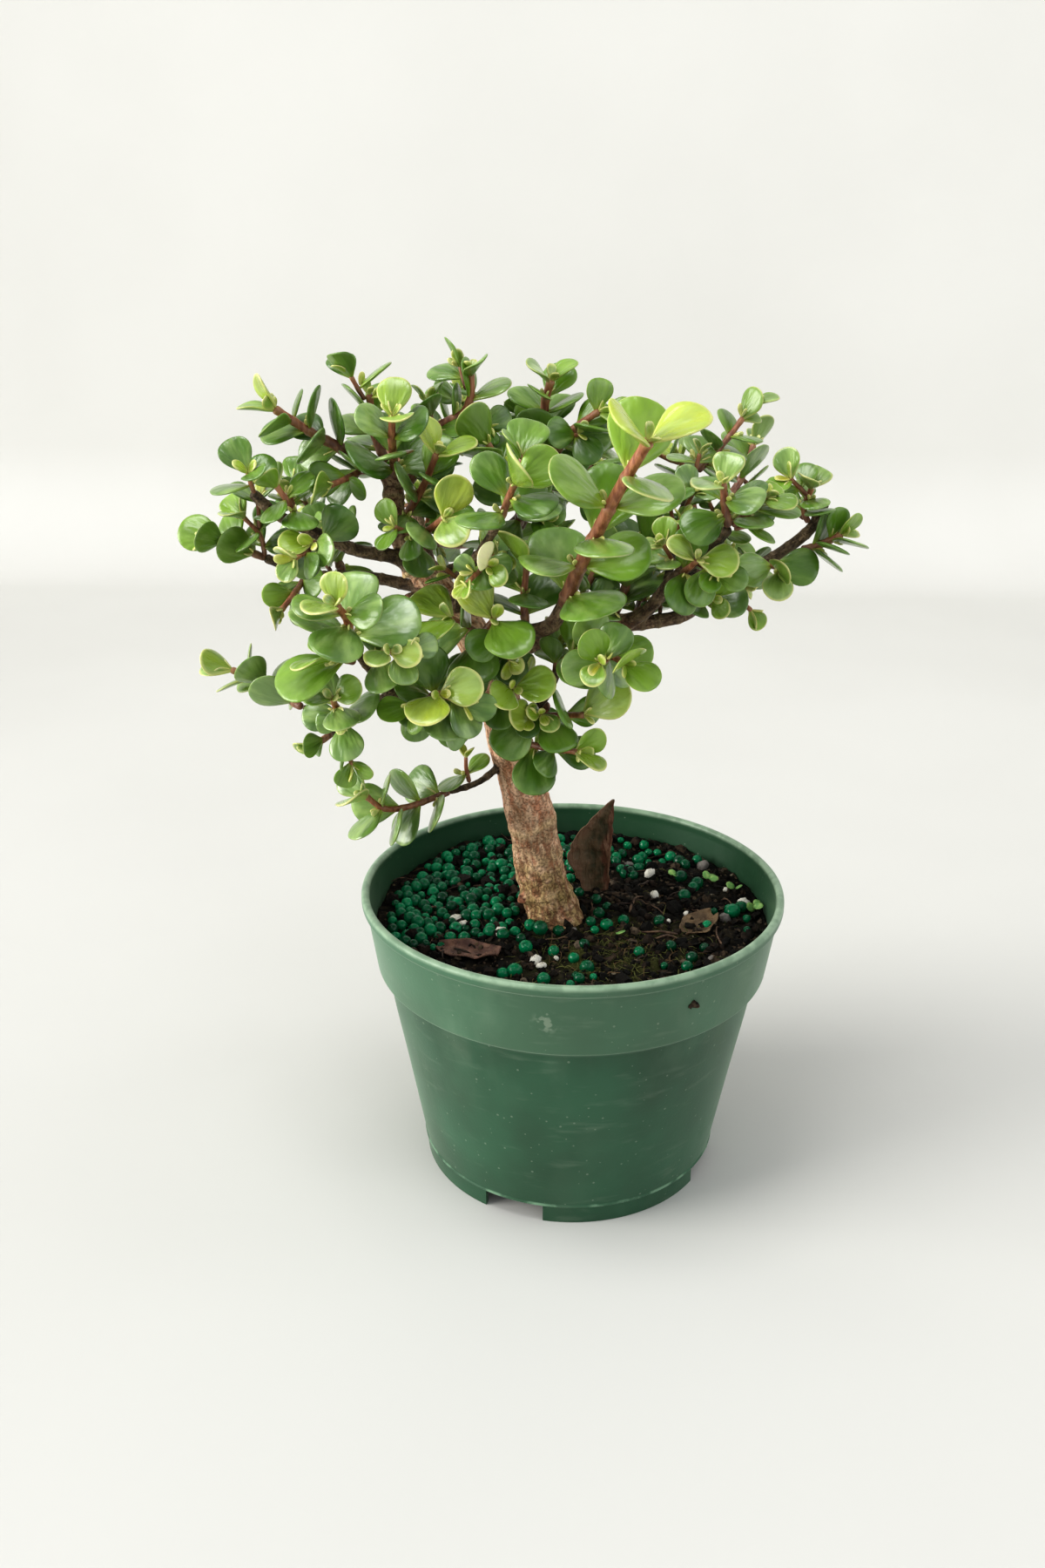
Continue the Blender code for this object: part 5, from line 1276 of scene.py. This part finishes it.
carriers = {**limbs, **{f"{name}.stem": own for name, own in lines.items()}}
rng = np.random.default_rng(7)
shoots = {f"{stem.name}.stem": [(stem, own_blades[stem.name])] for stem in STEMS}
tubes = list(carriers.values())
for name, (line, _) in carriers.items():
    if name in BARE_WOOD:
        continue
    leafy = name in shoots
    whole = lengths_of(line)[-1]
    sizes = [blade.length for blade in own_blades[name.removesuffix(".stem")]] if leafy else [11.5]
    size = np.mean(sizes or [10])
    first, step = (0.12, SPUR_STEP) if leafy else (0.3, 0.8 * SPUR_STEP)
    for place in np.arange(first * whole, whole - 2, step):
        if rng.uniform() > SPUR_SHARE:
            continue
        here, _ = at_length(line, place)
        near_tubes = [own for own in tubes if np.linalg.norm(own[0] - here, axis=1).min() < NEARBY]
        others = [own for own in near_tubes if own[0] is not line]
        best = None
        for _ in range(SPUR_TRIES):
            pairs = int(rng.integers(1, 3))
            at = place + rng.uniform(-1, 1)
            tried = spur(name, at, 2.5 + 3.6 * pairs, size * rng.uniform(0.75, 1.05), pairs, rng)
            rod, _ = tube_of(tried)
            rod = rod[np.linalg.norm(rod - rod[0], axis=1) > start_length(tried, carriers)]
            if len(rod) < 2 or bark_gap(rod, others) < SPUR_GAP:
                continue
            blades = grow(tried, carriers, near_tubes, grown, SPUR_CLEAR)
            if len(blades) >= 2 and (best is None or len(blades) > len(best[1])):
                best = tried, blades
        if best:
            shoots.setdefault(name, []).append(best)
            grown += best[1]
            tubes.append(tube_of(best[0]))
pale_blade = min(
    grown, key=lambda blade: np.linalg.norm(blade.root + blade.length / 2 * blade.along - PALE_LEAF_AT),
)
for name, made_of in shoots.items():
    plain_name = name.removesuffix(".stem")
    luck = np.random.default_rng(made_of[0][0].seed + len(name)).uniform()
    youth = YOUTH.get(plain_name, 0.2 + 0.35 * luck)
    if name in limbs:
        leafy_piece(f"{name}_spurs", made_of, youth)
    else:
        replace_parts(leafy_piece(f"{plain_name}_leaves", made_of, youth), plain_name)


# The dead leaves. One stands upright behind the trunk, stuck in the soil, with a dark middle and torn brown
# edges. Two more, shrivelled purple and tan, lie on the soil. Each is a thin curled sheet with a wall.

DRY_LEAF_ROOT = 6
# Each row of the upright leaf: its middle, its height over the soil, and half its width.
DRY_LEAF_ROWS = (
    (9.0, 18.6, 0.0, 4.5), (7.4, 18.0, 10.0, 7.2), (6.6, 17.6, 19.0, 7.9), (9.6, 17.5, 28.0, 5.6),
    (14.6, 17.4, 38.0, 0.5),
)
DRY_LEAF_ACROSS = (0.96, 0.28)
DRY_LEAF_CURL = 2.2
SHEET_THICK = 0.45
FALLEN_LIFT = 0.9
# Each fallen leaf: its name, middle, heading in degrees, length, width, and tone.
FALLEN_LEAVES = (
    ("fallen_leaf_front", (-36, -28), -22, 24, 12, 0.1), ("fallen_leaf_right", (46, -6), 40, 15, 12, 0.9),
)


def dead_sheet(name, across, places, tone):
    """A sheet with a thin wall from a grid of points, rows along and columns across."""
    number = np.arange(across.size).reshape(across.shape)
    quads = np.stack([number[:-1, :-1], number[:-1, 1:], number[1:, 1:], number[1:, :-1]], -1).reshape(-1, 4)
    made = piece(name, places.reshape(-1, 3), quads.tolist(), dead_skin, "dead_leaf",
                 across=across.ravel(), tone=np.full(across.size, tone))
    modify(made, "SOLIDIFY", thickness=SHEET_THICK * MM, offset=0)
    return made


dead_skin, shader, place, across, tone = finish_of("dead_leaf_skin", "place across tone", 0.62, 0.3)
blotch = mask_of(place, 210, 0.35, 0.68, 5)
veins = mask_of(stretched(place, (1, 1, 0.25)), 500, 0.45, 0.65, 4)
purple, tan, dark = (colour_mix(blotch, *tones) for tones in (
    ((0.075, 0.036, 0.028), (0.22, 0.115, 0.080)), ((0.09, 0.058, 0.032), (0.21, 0.14, 0.075)),
    ((0.050, 0.046, 0.022), (0.13, 0.085, 0.045)),
))
rusty = colour_mix(veins, (0.14, 0.060, 0.034), (0.25, 0.14, 0.085))
edge = ramped(sums("ADD", sums("ABSOLUTE", across, 0), times(blotch, 0.3)), 0.6, 0.95)
upright = painted(dark, (rusty, edge), ((0.19, 0.125, 0.075), ramped(across, 0.1, -0.5, 0, 0.6)))
fallen = colour_mix(ramped(tone, 0.2, 0.8), purple, tan)
colour = painted(fallen, (upright, sums("LESS_THAN", tone, 0)), ((0.20, 0.12, 0.065), veins, 0.25))
finished(shader, colour, sums("ADD", veins, blotch), 0.0004, 0.9)

v, u = np.meshgrid(np.linspace(0, 1, 60), np.linspace(-1, 1, 25), indexing="ij")
rows = np.array(DRY_LEAF_ROWS)
heights = np.concatenate([[-DRY_LEAF_ROOT], rows[:, 2]])
centres = np.vstack([rows[0, :2], rows[:, :2]])
halves = np.append(rows[0, 3], rows[:, 3])
shape = smooth(np.column_stack([centres, heights, halves]), 12)
at = [np.interp(v, np.linspace(0, 1, len(shape)), column) for column in shape.T]
torn = 1 + 0.16 * lumps(np.stack([v * 60, np.sign(u) * 9, 0 * v], -1), 2.6, 61) * (v > 0.2)
side = u * np.maximum(at[3], 0.2) * torn
curl = -DRY_LEAF_CURL * (side / rows[:, 3].max()) ** 2
crumple = 0.5 * lumps(np.stack([side, 0 * v, at[2]], -1), 3.5, 62)
edge_play = 0.4 * lumps(np.stack([side, 0 * v, at[2]], -1), 2.2, 63) * np.abs(u) ** 3
places = np.stack([
    at[0] + side * DRY_LEAF_ACROSS[0], at[1] + side * DRY_LEAF_ACROSS[1] + curl + crumple,
    soil_height(*DRY_LEAF_ROWS[0][:2]) + at[2] + edge_play,
], -1)
upright_leaf = dead_sheet("upright_dead_leaf", u, places, -1)
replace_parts(upright_leaf, "dry_leaf")

v, u = np.meshgrid(np.linspace(0, 1, 40), np.linspace(-1, 1, 21), indexing="ij")
for name, middle, heading, length, width, tone in FALLEN_LEAVES:
    lengthwise = np.array((np.cos(np.radians(heading)), np.sin(np.radians(heading))))
    crosswise = np.array((-lengthwise[1], lengthwise[0]))
    spine = np.stack([v * length, u * width / 2, np.full_like(v, 10 * tone)], -1)
    outline = np.sin(np.pi * (0.06 + 0.88 * v)) ** 0.7 * (1 + 0.14 * lumps(spine, 3, 64))
    sideways = (u * width / 2 * outline)[..., None] * crosswise
    flat = middle + (v - 0.5)[..., None] * length * lengthwise + sideways
    height = soil_height(flat[..., 0], flat[..., 1]) + FALLEN_LIFT + 2.0 * v**3 + 0.8 * u**2 * v
    height = height + 0.7 * lumps(spine, 3.5, 65) + 0.9 * u**4
    fallen = dead_sheet(f"{name}_sheet", u, np.concatenate([flat, height[..., None]], -1), tone)
    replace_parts(fallen, name)


# Threads of moss and fine roots lie on the soil in front of the trunk, with dry twigs, seedlings that have
# just opened, and scraps. A fleck of dried mud sticks to the pot's band.

FIBRES = 620
FIBRE_FIELD = 66
TWIGS = 46
TWIG_FIELD = 62
# Each seedling: its place, and how many leaves it has.
SEEDLINGS = ((40, 31, 3), (52, 28, 3), (68, 8, 4), (17, -13, 2), (62, 22, 2))
MUD = ((40.2, -61.4, 94.6), (41.3, -60.9, 93.4), (39.0, -62.0, 93.9))
MUD_SIZES = ((1.5, 0.6, 1.3), (1.0, 0.5, 0.8), (0.8, 0.4, 0.9))


def threads(rng, x, y, lengths, radii, sag, sides=4, rows=5):
    """Thin closed tubes that start on the soil at the places, run a length in a random direction and bend
    sideways and down, by amounts drawn for each."""
    count = len(x)
    t = np.linspace(0, 1, rows)
    heading = rng.uniform(0, 2 * np.pi, count)
    bend = rng.normal(0, 1.2, count)
    turn = heading[:, None] + bend[:, None] * t
    step = lengths[:, None] / (rows - 1)
    path_x = x[:, None] + np.cumsum(step * np.cos(turn), axis=1)
    path_y = y[:, None] + np.cumsum(step * np.sin(turn), axis=1)
    path_z = soil_top(path_x, path_y) + radii[:, None] + sag[:, None] * 4 * t * (1 - t)
    middle = np.stack([path_x, path_y, path_z], -1)
    across = np.stack([-np.sin(turn), np.cos(turn), 0 * turn], -1)
    round_turn = np.linspace(0, 2 * np.pi, sides, endpoint=False)[:, None]
    circle = np.cos(round_turn) * across[:, :, None] + np.sin(round_turn) * np.array((0, 0, 1.0))
    rings = middle[:, :, None] + (radii[:, None] * (1 - 0.6 * t))[..., None, None] * circle
    return shells(rings, np.stack([middle[:, 0], middle[:, -1]], 1))


moss_thread, shader, chance = finish_of("moss_thread", "chance", 0.8, 0.2)
green = colour_mix(chance, (0.045, 0.055, 0.014), (0.20, 0.20, 0.065))
finished(shader, colour_mix(sums("GREATER_THAN", chance, 0.8), green, (0.16, 0.10, 0.05)))
rng = np.random.default_rng(41)
half, rest = FIBRES // 2, FIBRES // 4
x = np.concatenate([rng.normal(24, 13, half), rng.normal(5, 14, rest), rng.uniform(-60, 60, rest)])
y = np.concatenate([rng.normal(-24, 11, half), rng.normal(-30, 9, rest), rng.uniform(-50, 50, rest)])
inside = np.hypot(x, y) < FIBRE_FIELD
x, y = x[inside], y[inside]
count = len(x)
lengths, radii, sag = rng.gamma(3, 1.3, count), rng.uniform(0.08, 0.22, count), rng.uniform(0.1, 1.3, count)
points, faces = threads(rng, x, y, lengths, radii, sag)
piece("moss_threads", points, faces, moss_thread, "soil", chance=own_chance(rng, count, points))

seedling_leaf, shader, place = finish_of("seedling_leaf", "place", 0.5, 0.3)
finished(shader, colour_mix(mask_of(place, 500, 0.4, 0.7), (0.16, 0.36, 0.10), (0.34, 0.52, 0.16)))
rng = np.random.default_rng(47)
stands = np.array([(x, y) for x, y, leaflets in SEEDLINGS for _ in range(leaflets)], float)
turn = rng.uniform(0, 2 * np.pi, len(stands))
away = np.column_stack([np.cos(turn), np.sin(turn)]) * rng.uniform(1.2, 2.4, (len(stands), 1))
middle = on_soil(*(stands + away).T, rng.uniform(1.4, 2.6, len(stands)))
lengthwise = unit(np.column_stack([away, rng.uniform(0, 1.6, len(stands))]))
crosswise = unit(np.cross((0, -0.7, 1), lengthwise))
turned = np.stack([lengthwise, crosswise, np.cross(lengthwise, crosswise)], -1)
size = rng.uniform(0.8, 1.2, (len(stands), 1)) * (1.9, 1.6, 0.18)
piece("seedlings", *pebbles(rng, middle, size, turned, 0.05, 4, 9), seedling_leaf, "leaf")

twig_wood, shader, place, chance = finish_of("dry_twig", "place chance", 0.7)
colour = colour_mix(mask_of(place, 600, 0.4, 0.7), (0.06, 0.032, 0.018), (0.17, 0.10, 0.055))
finished(shader, colour_mix(sums("GREATER_THAN", chance, 0.6), colour, (0.035, 0.018, 0.010)))
rng = np.random.default_rng(43)
x, y = spread(rng, TWIGS, TWIG_FIELD)
lengths, radii, sag = (rng.uniform(low, high, TWIGS) for low, high in ((5, 17), (0.25, 0.6), (0.2, 1.5)))
points, faces = threads(rng, x, y, lengths, radii, sag, 6, 9)
piece("dry_twigs", points, faces, twig_wood, "soil", chance=own_chance(rng, TWIGS, points))

unturned = 0 * turns_of(rng, len(MUD)) + np.eye(3)
points, faces = pebbles(rng, np.array(MUD), np.array(MUD_SIZES), unturned, 0.25)
piece("mud_fleck", points, faces, bark_bits, "soil", chance=np.full(len(points), 0.93))


# The studio: a pale floor that turns up into a pale wall behind, soft light from the upper left, and the
# camera where the photograph was taken from.

FLOOR_HALF = 3200
WALL_AT = 980
SWEEP = 120
WALL_HEIGHT = 3000
LENS = 32.0
CAMERA_AT = (0.0, -0.4567, 0.3278)
YAW, PITCH, ROLL = np.radians((-2.268, 21.718, 0.196))
# Each square light: its name, place, target, size, power and tone, in metres and watts.
LIGHTS = (
    ("key", (-8.6, -2.4, 2.5), (0, 0, 0.15), 5.4, 850, (1.0, 0.985, 0.95)),
    ("fill", (1.6, -1.3, 0.9), (0, 0, 0.15), 1.4, 6.5, (0.96, 0.98, 1.0)),
    ("wall", (1.3, 0.1, 1.0), (1.1, 0.98, 0.4), 0.8, 3, (1.0, 1.0, 1.0)),
    ("top", (-0.35, -0.2, 1.6), (0, 0, 0.2), 0.6, 8.5, (1.0, 1.0, 1.0)),
)

ground, shader, place = finish_of("pale_floor", "place", 0.7)
finished(shader, colour_mix(mask_of(place, 2.2, 0.3, 0.7), (0.61, 0.605, 0.57), (0.65, 0.645, 0.61)))
bend = np.linspace(0, np.pi / 2, 12)
curve = np.column_stack([WALL_AT - SWEEP + SWEEP * np.sin(bend), SWEEP - SWEEP * np.cos(bend)])
profile = np.vstack([[(-FLOOR_HALF, 0)], curve, [(WALL_AT, WALL_HEIGHT)]])
backdrop = np.array([(x, y, z) for y, z in profile for x in (-FLOOR_HALF, FLOOR_HALF)])
number = np.arange(2 * len(profile)).reshape(-1, 2)
quads = np.stack([number[:-1, 0], number[:-1, 1], number[1:, 1], number[1:, 0]], -1)
floor = object_of("studio_floor", backdrop, quads.tolist(), ground)
floor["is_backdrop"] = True


def placed(name, data, right, up, back, place):
    """A light or camera in the scene, at a place and turned to three directions."""
    made = bpy.data.objects.new(name, data)
    turn = np.eye(4)
    turn[:3] = np.column_stack([right, up, back, place])
    made.matrix_world = Matrix(turn.tolist())
    bpy.context.scene.collection.objects.link(made)
    return made


for name, place, target, size, power, tone in LIGHTS:
    lamp = bpy.data.lights.new(name, "AREA")
    lamp.shape, lamp.size, lamp.energy, lamp.color = "SQUARE", size, power, tone
    back = unit(np.array(place) - target)
    side = unit(np.cross((0, 0, 1), back))
    placed(name, lamp, side, np.cross(back, side), back, place)
world = bpy.data.worlds.new("studio_air")
world.use_nodes = True
air = world.node_tree.nodes["Background"].inputs
air["Color"].default_value = (0.93, 0.95, 1.0, 1)
air["Strength"].default_value = 0.59
scene = bpy.context.scene
scene.world = world
scene.view_settings.view_transform = "Standard"
scene.view_settings.look = "Medium High Contrast"

forward = np.array((np.sin(YAW) * np.cos(PITCH), np.cos(YAW) * np.cos(PITCH), -np.sin(PITCH)))
level = np.array((np.cos(YAW), -np.sin(YAW), 0))
upright = np.cross(level, forward)
right = np.cos(ROLL) * level + np.sin(ROLL) * upright
up = -np.sin(ROLL) * level + np.cos(ROLL) * upright
eye = bpy.data.cameras.new("camera")
eye.sensor_fit = "VERTICAL"
eye.sensor_height = 36
eye.lens = LENS
eye.clip_start = 0.01
scene.camera = placed("camera", eye, right, up, -forward, CAMERA_AT)

sizes = {"cad_box": cad_box, "visual_box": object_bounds()}
